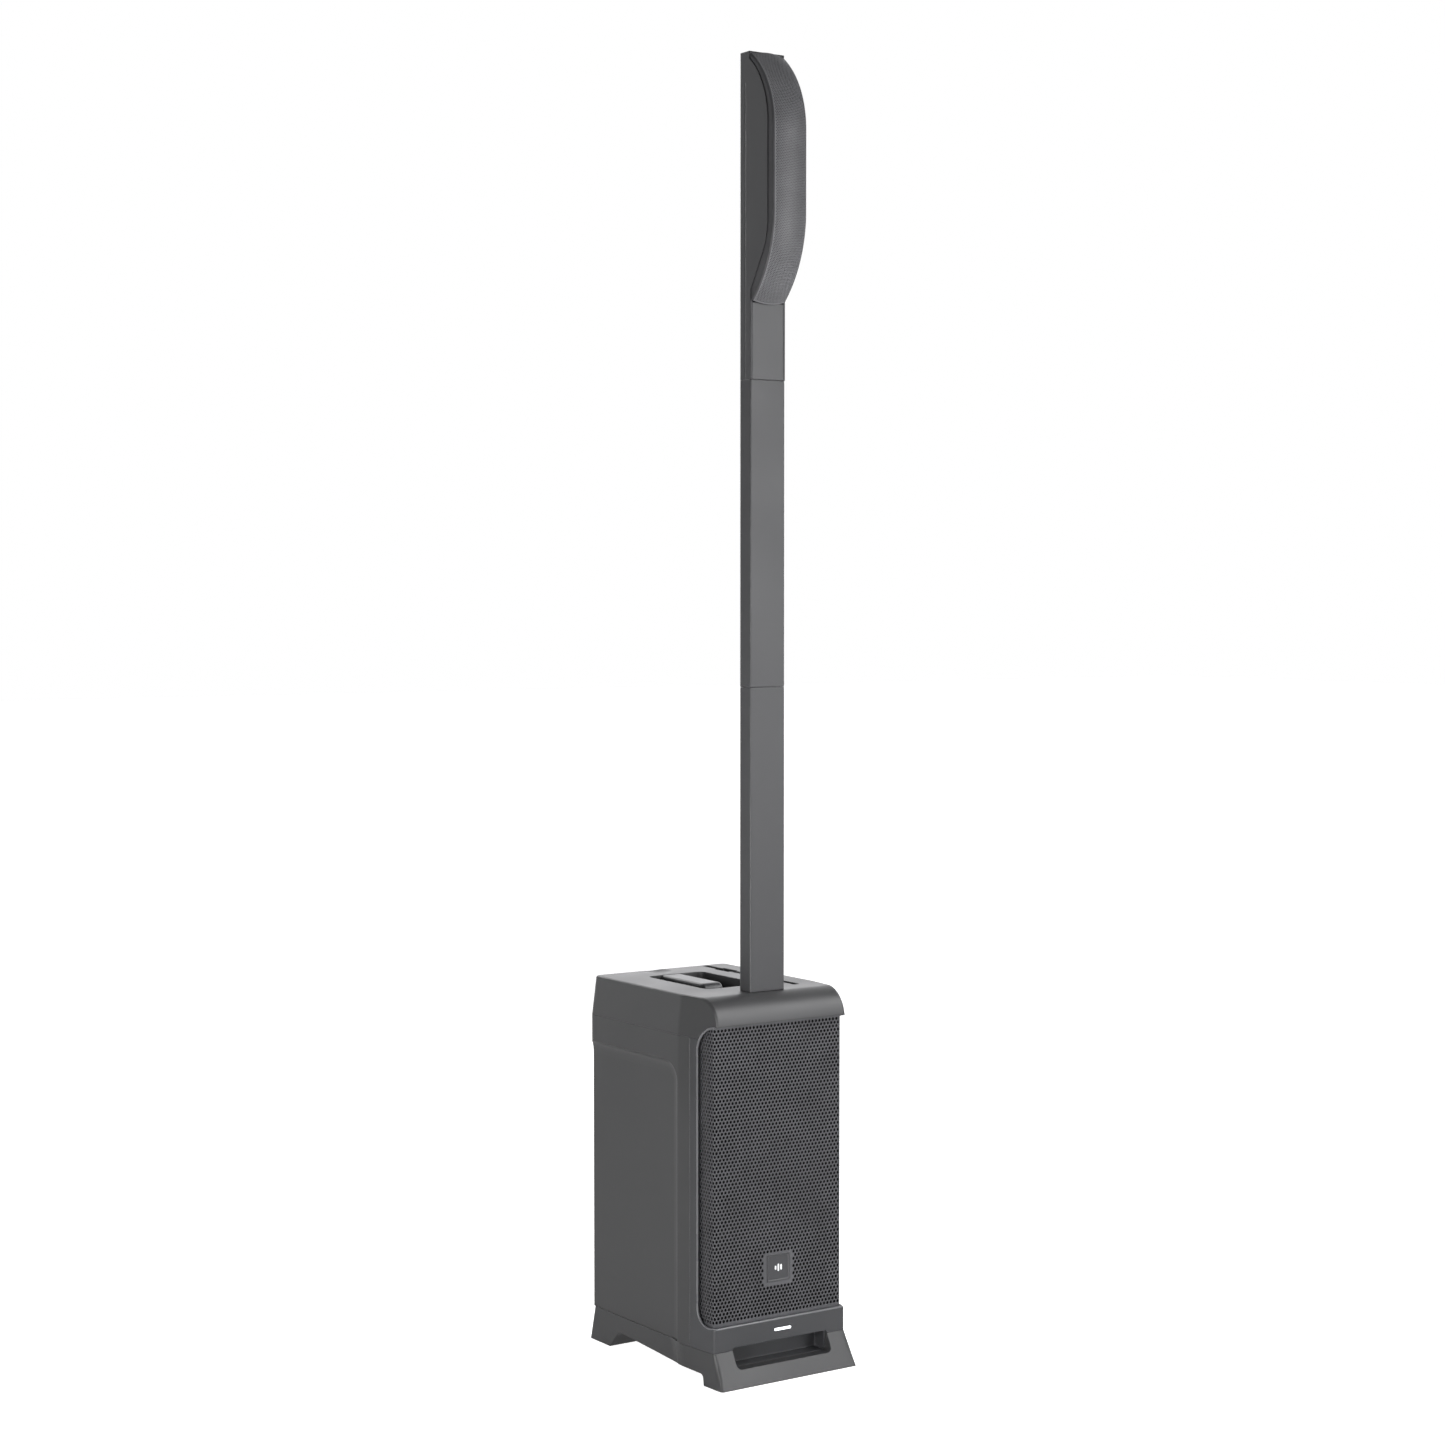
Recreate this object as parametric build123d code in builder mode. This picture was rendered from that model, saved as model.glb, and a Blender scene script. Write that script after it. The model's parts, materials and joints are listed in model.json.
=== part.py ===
"""Column PA speaker: a bass cabinet that carries two column spacers and a curved array.

Frame: the origin is on the floor under the middle of the footprint, +Z is up and the
front faces -Y. All sizes are in millimetres.
"""
from build123d import *
import os
from math import cos, radians, sin, tan

os.makedirs("parts", exist_ok=True)

# ---- driving dimensions -------------------------------------------------------------
WIDTH = 288.0              # cabinet at its widest
DEPTH = 406.0              # footprint, front apron to rear foot
PLINTH_TOP = 57.0          # seam between plinth and cabinet
CAP_SEAM = 575.0           # seam between cabinet and top cap
CABINET_TOP = 643.0
SPACER_LENGTH = 509.6      # one column spacer, shoulder to shoulder
COLUMN_TOP = 2200.8        # top of the array
COLUMN_WIDTH = 70.0
COLUMN_DEPTH = 32.5
COLUMN_BACK = -102.5       # rear face of the column
SEAM = 0.4                 # visible gap between stacked parts
RUN = 0.3                  # clearance round a part that moves

# ---- cabinet ------------------------------------------------------------------------
HALF = WIDTH / 2
APRON_FRONT = -DEPTH / 2
FOOT_BACK = DEPTH / 2
BODY_FRONT = -173.5        # front of the lower fascia strip
BODY_BACK = 200.0
CHEEK_BEND = -82.0         # where the sides start to narrow towards the front
FRONT_HALF = 134.0         # half width at the front
BEZEL_JOINT = -110.5       # joint between cabinet shell and front bezel
LEDGE_Z = 97.0             # top of the lower fascia strip
CHEEK_EDGE = -129.0        # front edge of the bezel cheeks, beside the grille
NOSE_Z = 596.0             # underside of the cap's nose
NOSE_R = 47.0              # quarter round of the nose
CAP_LEAN = 5.5             # how far the cap's sides lean in
WALL = 5.0
INNER_HALF = 131.0         # inside of the cabinet walls
RECESS_DEPTH = 8.2         # soft hollow in each side
RECESS_FRONT = -78.0
RECESS_TOP = 528.5

# ---- rear ---------------------------------------------------------------------------
PANEL_FACE = 186.0         # outer face of the control panel, sunk into the back
PANEL_THICK = 3.0
PANEL_HALF = 109.7
PANEL_LOW, PANEL_HIGH = 300.3, 555.7
SLAB_FRONT = 178.0         # inner face of the thick rear wall
BAY_HALF, BAY_LOW, BAY_HIGH, BAY_FRONT = 80.0, 90.0, 210.0, 62.0

# ---- woofer -------------------------------------------------------------------------
WOOFER_Z = 345.0
FLANGE_R = 127.0
BAFFLE_FRONT, BAFFLE_BACK = -146.0, -131.0
GRILLE_FRONT = -167.0
GRILLE_HALF = 130.0
GRILLE_BACK = -121.0
GRILLE_SPLAY = 1.5
GRILLE_LOW, GRILLE_HIGH = LEDGE_Z + 0.5, 599.5
BADGE_HALF, BADGE_Z = 23.0, 182.0
SHEET = 1.5

# ---- column -------------------------------------------------------------------------
COLUMN_Y = COLUMN_BACK - COLUMN_DEPTH / 2
COLUMN_FRONT = COLUMN_BACK - COLUMN_DEPTH
LOWER_Z = CABINET_TOP + SEAM
UPPER_Z = LOWER_Z + SPACER_LENGTH + SEAM
ARRAY_Z = UPPER_Z + SPACER_LENGTH + SEAM
TUBE_WALL = 3.0
SPIGOT_WIDTH, SPIGOT_DEPTH, SPIGOT_LENGTH = 46.0, 17.0, 55.0


def save(piece, name):
    """Label a finished sub-part and write it as its own STEP file."""
    piece.part.label = name
    export_step(piece.part, f"parts/{name}.step")


def half_width(y):
    """Half width of the cabinet at a depth y: straight sides, then a taper forwards."""
    if y >= CHEEK_BEND:
        return HALF
    return HALF - (HALF - FRONT_HALF) * (CHEEK_BEND - y) / (CHEEK_BEND - BODY_FRONT)


def mirrored_plan(z, right_side, radii):
    """Plan outline at height z from its right half, each corner with its own radius."""
    left_side = [(-x, y) for x, y in reversed(right_side)]
    with BuildSketch(Plane.XY.offset(z)) as plan:
        with BuildLine():
            Polyline(*right_side, *left_side, close=True)
        make_face()
        for (x, y), radius in zip(right_side, radii):
            ends = [v for v in plan.vertices() if abs(abs(v.X) - x) < 0.01 and abs(v.Y - y) < 0.01]
            fillet(ends, radius=radius)
    return plan.sketch


def cheek_cutout():
    """Side view of what is open for the grille: soft corners at the foot and under the nose."""
    low_z, high_z = LEDGE_Z + 28, 560.0
    with BuildSketch(Plane.YZ) as profile:
        with BuildLine():
            low = ThreePointArc((-160, LEDGE_Z), (-139, LEDGE_Z + 7), (CHEEK_EDGE, low_z))
            high = ThreePointArc((CHEEK_EDGE, high_z), (-143.5, 585.5), (-177, NOSE_Z + 2))
            Line(low @ 1, high @ 0)
            Polyline(high @ 1, (-230, NOSE_Z + 2), (-230, LEDGE_Z), low @ 0)
        make_face()
    return profile.sketch


def ring(radius_out, radius_in, y_front, y_back, x=0.0, z=0.0, mode=Mode.ADD):
    """Round ring or, with no inner radius, a disc, on an axis along Y."""
    plane = Plane(origin=(x, y_front, z), x_dir=(1, 0, 0), z_dir=(0, 1, 0))
    with BuildSketch(plane) as face:
        Circle(radius_out)
        if radius_in:
            Circle(radius_in, mode=Mode.SUBTRACT)
    extrude(face.sketch, amount=y_back - y_front, mode=mode)


def block(x_span, y_span, z_span, mode=Mode.ADD):
    """Plain box in the open part, from its spans along X, Y and Z."""
    size = [high - low for low, high in (x_span, y_span, z_span)]
    middle = Vector(*[(high + low) / 2 for low, high in (x_span, y_span, z_span)])
    with Locations(middle):
        Box(*size, mode=mode)


def screws(points, head_r, head_h, length, towards):
    """Pan head screws as separate solids; each point is the seat, towards is the head's side."""
    with BuildPart() as group:
        for point in points:
            seat = Plane(origin=point, z_dir=towards)
            with BuildSketch(seat):
                Circle(head_r)
            extrude(amount=head_h)
            with BuildSketch(seat):
                Circle(head_r * 0.45)
            extrude(amount=-length)
            with BuildSketch(seat.offset(head_h - 0.8)):
                RegularPolygon(head_r * 0.45, 6)
            extrude(amount=2, mode=Mode.SUBTRACT)
    return group


# ---- plinth -------------------------------------------------------------------------
FOOT_RISE = 1.0            # the pads stand this far below the plinth
APRON_HALF = 139.0
HOLLOW_HALF = HALF - 7.5
SLOT_HALF, SLOT_LOW, SLOT_HIGH = 97.0, 28.0, 62.0
DUCT_HALF, DUCT_BACK, DUCT_TOP = 98.0, -138.0, 91.0
DUCT_WALL = 2.5
TUNNEL_FRONT, TUNNEL_BACK = -154.0, 137.5
PAD_X, PAD_FRONT_Y, PAD_BACK_Y = 92.0, -178.0, 170.0
PAD_LENGTH, PAD_DEPTH, PAD_SINK = 62.0, 24.0, 5.0

foot_plan = mirrored_plan(
    FOOT_RISE,
    [(APRON_HALF, APRON_FRONT), (HALF, -86), (HALF, -50), (HALF, FOOT_BACK)],
    [5, 60, 60, 8],
)
seam_plan = mirrored_plan(
    PLINTH_TOP,
    [(FRONT_HALF, BODY_FRONT), (HALF, -82), (HOLLOW_HALF, -52), (HOLLOW_HALF, BODY_BACK)],
    [5, 60, 60, 8],
)
with BuildSketch(Plane.YZ) as tunnel_profile:
    with BuildLine():
        Polyline(
            (TUNNEL_FRONT, -5), (TUNNEL_FRONT + 5, 19), (-81, 20.5), (52, 27.7), (113, 30.5),
            (TUNNEL_BACK + 1, -5), close=True,
        )
    make_face()
    fillet(tunnel_profile.vertices().sort_by_distance((TUNNEL_FRONT + 5, 19))[0], radius=9)
    fillet(tunnel_profile.vertices().sort_by_distance((113, 30.5))[0], radius=26)

with BuildPart() as plinth:
    loft(sections=[foot_plan, seam_plan], ruled=True)
    extrude(tunnel_profile.sketch, amount=HALF + 20, both=True, mode=Mode.SUBTRACT)
    block((-126, 126), (-128, 190), (34, 70), mode=Mode.SUBTRACT)
    block(
        (-DUCT_HALF - RUN, DUCT_HALF + RUN),
        (-168, DUCT_BACK + RUN),
        (SLOT_LOW - 2.8, 70),
        mode=Mode.SUBTRACT,
    )
    with BuildSketch(Plane.XZ.offset(160)) as slot:
        with Locations((0, (SLOT_LOW + 90) / 2)):
            Rectangle(2 * SLOT_HALF, 90 - SLOT_LOW)
        fillet(slot.vertices().group_by(Axis.Y)[0], radius=9)
    extrude(amount=60, mode=Mode.SUBTRACT)
    for x in (-PAD_X, PAD_X):
        for y in (PAD_FRONT_Y, PAD_BACK_Y):
            block(
                (x - PAD_LENGTH / 2, x + PAD_LENGTH / 2),
                (y - PAD_DEPTH / 2, y + PAD_DEPTH / 2),
                (0, FOOT_RISE + PAD_SINK),
                mode=Mode.SUBTRACT,
            )
save(plinth, "plinth")

with BuildPart() as rubber_feet:
    for x in (-PAD_X, PAD_X):
        for y in (PAD_FRONT_Y, PAD_BACK_Y):
            with BuildSketch(Plane.XY):
                with Locations((x, y)):
                    RectangleRounded(PAD_LENGTH - 0.4, PAD_DEPTH - 0.4, 6)
            extrude(amount=FOOT_RISE + PAD_SINK)
    chamfer(rubber_feet.faces().filter_by(Axis.Z).group_by(Axis.Z)[0].edges(), length=0.6)
save(rubber_feet, "rubber_feet")

# ---- cabinet shell ------------------------------------------------------------------
SHELL_LOW = PLINTH_TOP + SEAM
SHELL_HIGH = CAP_SEAM - SEAM / 2
CORNER_R = 12.0


def recess_section(x, inset):
    """One section of the soft side hollow; it runs out at the back and at the foot."""
    front, top = RECESS_FRONT + inset, RECESS_TOP - inset
    with BuildSketch(Plane.YZ.offset(x)) as section:
        with BuildLine():
            Polyline((front, 20), (BODY_BACK + 30, 20), (BODY_BACK + 30, top), (front, top), close=True)
        make_face()
        fillet(section.vertices().sort_by_distance((front, top))[0], radius=34 - inset)
    return section.sketch


with BuildPart() as recess:
    floor_x = HALF - RECESS_DEPTH
    steps = [(0.0, HALF + 0.2), (2.2, HALF - 3.4), (8.5, HALF - 6.6), (22.0, floor_x)]
    loft(sections=[recess_section(x, inset) for inset, x in steps])
    extrude(recess_section(HALF + 0.2, 0.0), amount=10)

shell_plan = mirrored_plan(
    SHELL_LOW,
    [(half_width(BEZEL_JOINT), BEZEL_JOINT), (HALF, CHEEK_BEND), (HALF, BODY_BACK)],
    [0.6, 60, CORNER_R],
)
with BuildPart() as cabinet_shell:
    extrude(shell_plan, amount=SHELL_HIGH - SHELL_LOW)
    block(
        (-INNER_HALF, INNER_HALF),
        (BEZEL_JOINT - 5, SLAB_FRONT),
        (SHELL_LOW + WALL, 600),
        mode=Mode.SUBTRACT,
    )
    add(recess.part, mode=Mode.SUBTRACT)
    mirror(recess.part, about=Plane.YZ, mode=Mode.SUBTRACT)
    # control panel: a seat, then a smaller window behind it
    panel_seat = PANEL_FACE - PANEL_THICK
    with BuildSketch(Plane.XZ.offset(-panel_seat)):
        with Locations((0, (PANEL_LOW + PANEL_HIGH) / 2)):
            RectangleRounded(2 * PANEL_HALF + 0.6, PANEL_HIGH - PANEL_LOW + 0.6, 7)
    extrude(amount=-40, mode=Mode.SUBTRACT)
    block(
        (-PANEL_HALF + 8, PANEL_HALF - 8),
        (SLAB_FRONT - 5, BODY_BACK),
        (PANEL_LOW + 8, PANEL_HIGH - 8),
        mode=Mode.SUBTRACT,
    )
    # battery: a shallow seat for its face plate, then the way in
    with BuildSketch(Plane.XZ.offset(-189.5)):
        with Locations((0, (BAY_LOW + BAY_HIGH) / 2)):
            RectangleRounded(2 * BAY_HALF + 24, BAY_HIGH - BAY_LOW + 20, 9)
    extrude(amount=-40, mode=Mode.SUBTRACT)
    block(
        (-BAY_HALF, BAY_HALF), (SLAB_FRONT - 5, BODY_BACK), (BAY_LOW, BAY_HIGH), mode=Mode.SUBTRACT
    )
    # the thick back wall is cored out from inside, round the two seats
    block((-INNER_HALF, INNER_HALF), (SLAB_FRONT - 5, 195), (226, 294), mode=Mode.SUBTRACT)
    for side in (-1, 1):
        core_x = sorted((side * (BAY_HALF + 17), side * INNER_HALF))
        block(core_x, (SLAB_FRONT - 5, 195), (70, 227), mode=Mode.SUBTRACT)
save(cabinet_shell, "cabinet_shell")

# ---- front bezel --------------------------------------------------------------------
LIP_R = 1.5                # round of the cheeks' outer edge, beside the grille
bezel_plan = mirrored_plan(
    SHELL_LOW,
    [(FRONT_HALF, BODY_FRONT), (half_width(BEZEL_JOINT - SEAM), BEZEL_JOINT - SEAM)],
    [5, 0.6],
)
with BuildPart() as front_bezel:
    extrude(bezel_plan, amount=SHELL_HIGH - SHELL_LOW)
    block((-132.5, 132.5), (-180, -100), (LEDGE_Z, 600), mode=Mode.SUBTRACT)
    block((-126, 126), (-168, -100), (40, LEDGE_Z - WALL), mode=Mode.SUBTRACT)
    extrude(cheek_cutout(), amount=HALF + 20, both=True, mode=Mode.SUBTRACT)
    with BuildSketch(Plane.XZ.offset(150)) as mouth:
        with Locations((0, (SLOT_HIGH + 20) / 2)):
            Rectangle(2 * SLOT_HALF, SLOT_HIGH - 20)
        fillet(mouth.vertices().group_by(Axis.Y)[-1], radius=4)
    extrude(amount=60, mode=Mode.SUBTRACT)
    lip = front_bezel.edges().filter_by(lambda e: abs(e.center().X) > FRONT_HALF and e.length > 8)
    lip = lip.filter_by(lambda e: -170 < e.center().Y < CHEEK_EDGE + 1 and e.center().Z > LEDGE_Z - 1)
    fillet(lip, radius=LIP_R)
    # seat of the status light
    block((-12, 22), (-180, -160), (77, 81.5), mode=Mode.SUBTRACT)
save(front_bezel, "front_bezel")

with BuildPart() as light_bar:
    block((-11.8, 21.8), (BODY_FRONT - 0.1, -166), (77.2, 81.3))
    block((-16, 26), (-167.9, -165), (74, 84.5))
    fillet(light_bar.edges().filter_by(Axis.Y).group_by(SortBy.LENGTH)[-1], radius=1.8)
save(light_bar, "light_bar")

# ---- top cap ------------------------------------------------------------------------
NOSE_Y = -178.0
NOSE_AXIS_Y = NOSE_Y + NOSE_R
CAP_LOW = CAP_SEAM + SEAM / 2
CAP_PLATE = 5.0
TUB_X, TUB_Y, TUB_FLOOR = (-72.0, 44.0), (-60.0, 127.0), 604.0
BAR_X, BAR_FRONT, BAR_THICK = (-41.0, 0.0), -6.0, 18.0
TABLET_X, TABLET_Y, TABLET_FLOOR = (83.0, 96.0), (-97.0, 185.0), 629.0


def grille_plan(z, grow):
    """Plan of the grille: a front with round corners and sides that splay back a little."""
    front, side, back = GRILLE_FRONT - grow, GRILLE_HALF + grow, GRILLE_BACK
    if grow < 0:
        back += 1
    return mirrored_plan(z, [(side, front), (side + GRILLE_SPLAY, back)], [4.0 + grow, 0.1])


grille_room = grille_plan(500, 0.6)


def cap_plan(z, lean):
    """Plan outline of the cap; the upper one is drawn in by the lean of its sides."""
    front = NOSE_Y - 4
    return mirrored_plan(
        z,
        [(half_width(front) - lean, front), (HALF - lean, CHEEK_BEND), (HALF - lean, BODY_BACK - lean)],
        [3, 60, CORNER_R],
    )


with BuildSketch(Plane.YZ) as nose_waste:
    with BuildLine():
        Polyline(
            (NOSE_AXIS_Y, CABINET_TOP), (NOSE_AXIS_Y, CABINET_TOP + 20), (-230, CABINET_TOP + 20),
            (-230, NOSE_Z), (NOSE_Y, NOSE_Z),
        )
        ThreePointArc(
            (NOSE_Y, NOSE_Z),
            (NOSE_AXIS_Y - NOSE_R * cos(radians(45)), NOSE_Z + NOSE_R * sin(radians(45))),
            (NOSE_AXIS_Y, CABINET_TOP),
        )
    make_face()

inner_r = NOSE_R - CAP_PLATE
with BuildSketch(Plane.YZ) as cap_cavity:
    with BuildLine():
        Polyline(
            (NOSE_AXIS_Y, NOSE_Z + inner_r), (BODY_BACK - 12, NOSE_Z + inner_r),
            (BODY_BACK - 12, 560), (NOSE_AXIS_Y - inner_r, 560), (NOSE_AXIS_Y - inner_r, NOSE_Z),
        )
        ThreePointArc(
            (NOSE_AXIS_Y - inner_r, NOSE_Z),
            (NOSE_AXIS_Y - inner_r * cos(radians(45)), NOSE_Z + inner_r * sin(radians(45))),
            (NOSE_AXIS_Y, NOSE_Z + inner_r),
        )
    make_face()

cap_inner = mirrored_plan(
    550, [(FRONT_HALF - 5.5, -176), (HALF - 10.5, CHEEK_BEND), (HALF - 10.5, BODY_BACK - 12)], [3, 60, 8]
)
with BuildPart() as cap_hollow:
    extrude(cap_cavity.sketch, amount=HALF, both=True)
    extrude(cap_inner, amount=120, mode=Mode.INTERSECT)

with BuildPart() as top_cap:
    loft(sections=[cap_plan(CAP_LOW, 0.0), cap_plan(CABINET_TOP, CAP_LEAN)], ruled=True)
    extrude(nose_waste.sketch, amount=HALF + 20, both=True, mode=Mode.SUBTRACT)
    rim = top_cap.faces().sort_by(Axis.Z)[-1].outer_wire().edges()
    rim = rim.filter_by(lambda e: e.center().Y > NOSE_AXIS_Y + 1)
    fillet(rim, radius=4)
    extrude(cheek_cutout(), amount=HALF + 20, both=True, mode=Mode.SUBTRACT)
    add(cap_hollow.part, mode=Mode.SUBTRACT)
    extrude(grille_room, amount=GRILLE_HIGH + 0.5 - 500, mode=Mode.SUBTRACT)
    # handle tub: a box under the plate, hollowed from above, with a ramp at its front
    block((TUB_X[0] - 3.5, TUB_X[1] + 3.5), (TUB_Y[0] - 3.5, TUB_Y[1] + 3.5), (TUB_FLOOR - 4, 640))
    tub_plane = Plane.XY.offset(TUB_FLOOR)
    with BuildSketch(tub_plane) as tub:
        with Locations((sum(TUB_X) / 2, sum(TUB_Y) / 2)):
            RectangleRounded(TUB_X[1] - TUB_X[0], TUB_Y[1] - TUB_Y[0], 14)
    extrude(amount=60, mode=Mode.SUBTRACT)
    with BuildSketch(Plane.YZ.offset(sum(TUB_X) / 2)):
        with BuildLine():
            ramp_foot = TUB_FLOOR - 2
            Polyline(
                (TUB_Y[0] - 2, ramp_foot), (BAR_FRONT - 6, ramp_foot), (TUB_Y[0] - 2, 638), close=True
            )
        make_face()
    extrude(amount=(TUB_X[1] - TUB_X[0]) / 2 + 1, both=True)
    # tablet slot
    block(
        (TABLET_X[0] - 3.5, TABLET_X[1] + 3.5),
        (TABLET_Y[0] - 3.5, TABLET_Y[1] + 3.5),
        (TABLET_FLOOR - 3, 640),
    )
    with BuildSketch(Plane.XY.offset(TABLET_FLOOR)):
        with Locations((sum(TABLET_X) / 2, sum(TABLET_Y) / 2)):
            RectangleRounded(TABLET_X[1] - TABLET_X[0], TABLET_Y[1] - TABLET_Y[0], 4)
        with Locations((sum(TABLET_X) / 2, 118)):
            RectangleRounded(TABLET_X[1] - TABLET_X[0] + 10, 46, 4)
    extrude(amount=60, mode=Mode.SUBTRACT)
    # way in for the column spigot
    block(
        (-SPIGOT_WIDTH / 2 - RUN, SPIGOT_WIDTH / 2 + RUN),
        (COLUMN_Y - SPIGOT_DEPTH / 2 - RUN, COLUMN_Y + SPIGOT_DEPTH / 2 + RUN),
        (600, 660),
        mode=Mode.SUBTRACT,
    )
    # shallow dish at the rear edge
    dish_r = 125.0
    with Locations((-20, 172, CABINET_TOP + dish_r - 3)):
        Sphere(dish_r, mode=Mode.SUBTRACT)
save(top_cap, "top_cap")

with BuildPart() as handle_bar:
    bar_mid = sum(BAR_X) / 2
    bar_top, bar_low = CABINET_TOP - 0.5, CABINET_TOP - 0.5 - BAR_THICK
    bar_side = [
        (TUB_Y[1], bar_top), (BAR_FRONT, bar_top), (BAR_FRONT, TUB_FLOOR), (BAR_FRONT + 16, TUB_FLOOR),
        (BAR_FRONT + 16, bar_low), (TUB_Y[1], bar_low),
    ]
    with BuildSketch(Plane.YZ.offset(bar_mid)) as bar_profile:
        with BuildLine():
            Polyline(*bar_side, close=True)
        make_face()
        fillet(bar_profile.vertices().sort_by_distance((BAR_FRONT, bar_top))[0], radius=12)
        fillet(bar_profile.vertices().sort_by_distance((BAR_FRONT + 16, bar_low))[0], radius=8)
    extrude(amount=(BAR_X[1] - BAR_X[0]) / 2, both=True)
    long_edges = handle_bar.edges().filter_by(Axis.Y)
    fillet(long_edges, radius=5)
save(handle_bar, "handle_bar")

# ---- front grille, foam, badge ------------------------------------------------------
with BuildPart() as front_grille:
    extrude(grille_plan(GRILLE_LOW, 0.0), amount=GRILLE_HIGH - GRILLE_LOW)
    inside = grille_plan(GRILLE_LOW, -SHEET)
    extrude(inside, amount=GRILLE_HIGH - GRILLE_LOW, mode=Mode.SUBTRACT)
    block(
        (-BADGE_HALF - 0.3, BADGE_HALF + 0.3),
        (-175, -160),
        (BADGE_Z - BADGE_HALF - 0.3, BADGE_Z + BADGE_HALF + 0.3),
        mode=Mode.SUBTRACT,
    )
save(front_grille, "front_grille")

with BuildPart() as badge:
    block(
        (-BADGE_HALF, BADGE_HALF),
        (GRILLE_FRONT - 0.9, GRILLE_FRONT + 2.2),
        (BADGE_Z - BADGE_HALF, BADGE_Z + BADGE_HALF),
    )
    block(
        (-BADGE_HALF + 2, BADGE_HALF - 2),
        (GRILLE_FRONT - 5, GRILLE_FRONT + 0.6),
        (BADGE_Z - BADGE_HALF + 2, BADGE_Z + BADGE_HALF - 2),
        mode=Mode.SUBTRACT,
    )
save(badge, "badge")

with BuildPart() as grille_foam:
    block((-127.5, 127.5), (GRILLE_FRONT + 2.4, GRILLE_FRONT + 6.4), (GRILLE_LOW + 1, 593))
save(grille_foam, "grille_foam")

# ---- baffle and woofer --------------------------------------------------------------
with BuildPart() as baffle_board:
    block((-128, 128), (BAFFLE_FRONT, BAFFLE_BACK), (LEDGE_Z + 0.5, CAP_LOW - 3))
    ring(116, 0, BAFFLE_FRONT - 5, BAFFLE_BACK + 5, 0, WOOFER_Z, mode=Mode.SUBTRACT)
save(baffle_board, "baffle_board")

CONE_EDGE_R, COIL_R, CONE_BACK = 103.0, 26.0, -105.0
MAGNET_FRONT, MAGNET_BACK = -74.0, -40.0
COIL_END = MAGNET_FRONT + 12

flange_front = BAFFLE_FRONT - 5
bolt_circle = [
    (121.5 * cos(radians(a)), flange_front, WOOFER_Z + 121.5 * sin(radians(a)))
    for a in range(0, 360, 45)
]


def turned(points):
    """Solid of revolution about the woofer's axis from (radius, y) points."""
    with BuildSketch(Plane.XY.offset(WOOFER_Z)) as face:
        with BuildLine():
            Polyline(*points, close=True)
        make_face()
    revolve(face.sketch, axis=Axis((0, 0, WOOFER_Z), (0, 1, 0)))


with BuildPart() as woofer_basket:
    turned([
        (112.5, flange_front), (FLANGE_R, flange_front), (FLANGE_R, BAFFLE_FRONT),
        (115, BAFFLE_FRONT), (62, MAGNET_FRONT - 4), (62, MAGNET_FRONT), (31, MAGNET_FRONT),
        (31, MAGNET_FRONT - 4), (58, MAGNET_FRONT - 4), (111, BAFFLE_FRONT),
    ])
    windows = Plane(origin=(0, BAFFLE_BACK + 8, WOOFER_Z), x_dir=(1, 0, 0), z_dir=(0, 1, 0))
    with BuildSketch(windows):
        with PolarLocations(84, 6):
            RectangleRounded(30, 44, 8)
    extrude(amount=44, mode=Mode.SUBTRACT)
    for x, y, z in bolt_circle:
        ring(2.0, 0, y - 1, y + 7, x, z, mode=Mode.SUBTRACT)
save(woofer_basket, "woofer_basket")

with BuildPart() as woofer_magnet:
    turned([
        (0, MAGNET_FRONT + 0.1), (COIL_R - 2.5, MAGNET_FRONT + 0.1), (COIL_R - 2.5, MAGNET_FRONT + 22),
        (COIL_R + 2.5, MAGNET_FRONT + 22), (COIL_R + 2.5, MAGNET_FRONT + 0.1), (61, MAGNET_FRONT + 0.1),
        (65, MAGNET_FRONT + 4), (65, MAGNET_BACK - 4), (61, MAGNET_BACK), (0, MAGNET_BACK),
    ])
save(woofer_magnet, "woofer_magnet")

# paper cone, coil former and the domed dust cap, glued into one moving piece
with BuildPart() as woofer_cone:
    turned([
        (0, -131), (22, -128), (41, -116.2), (CONE_EDGE_R, -150), (CONE_EDGE_R, -148.6),
        (COIL_R + 0.6, CONE_BACK + 1.4), (COIL_R + 0.6, COIL_END), (COIL_R - 0.6, COIL_END),
        (COIL_R - 0.6, CONE_BACK), (40.2, -113.6), (21.5, -126.6), (0, -129.6),
    ])
save(woofer_cone, "woofer_cone")

with BuildPart() as woofer_surround:
    with BuildSketch(Plane.XY.offset(WOOFER_Z)) as roll:
        with Locations((108.3, flange_front)):
            Circle(4.1)
            Circle(2.9, mode=Mode.SUBTRACT)
            with Locations((0, 5.2)):
                Rectangle(12, 10, mode=Mode.SUBTRACT)
    revolve(axis=Axis((0, 0, WOOFER_Z), (0, 1, 0)))
save(woofer_surround, "woofer_surround")

save(screws(bolt_circle, 4.0, 2.4, 4.5, (0, -1, 0)), "woofer_screws")

# ---- port ---------------------------------------------------------------------------
with BuildPart() as port_duct:
    tail = -40.0
    mouth_low = SLOT_LOW - DUCT_WALL
    block((-DUCT_HALF, DUCT_HALF), (-167.6, DUCT_BACK), (mouth_low, DUCT_TOP))
    block((-DUCT_HALF, DUCT_HALF), (-150, tail), (64, DUCT_TOP))
    inner_half = DUCT_HALF - DUCT_WALL
    block(
        (-inner_half, inner_half),
        (-180, DUCT_BACK - DUCT_WALL),
        (SLOT_LOW, DUCT_TOP - DUCT_WALL),
        mode=Mode.SUBTRACT,
    )
    block(
        (-inner_half, inner_half),
        (-160, tail + 5),
        (64 + DUCT_WALL, DUCT_TOP - DUCT_WALL),
        mode=Mode.SUBTRACT,
    )
save(port_duct, "port_duct")

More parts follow.
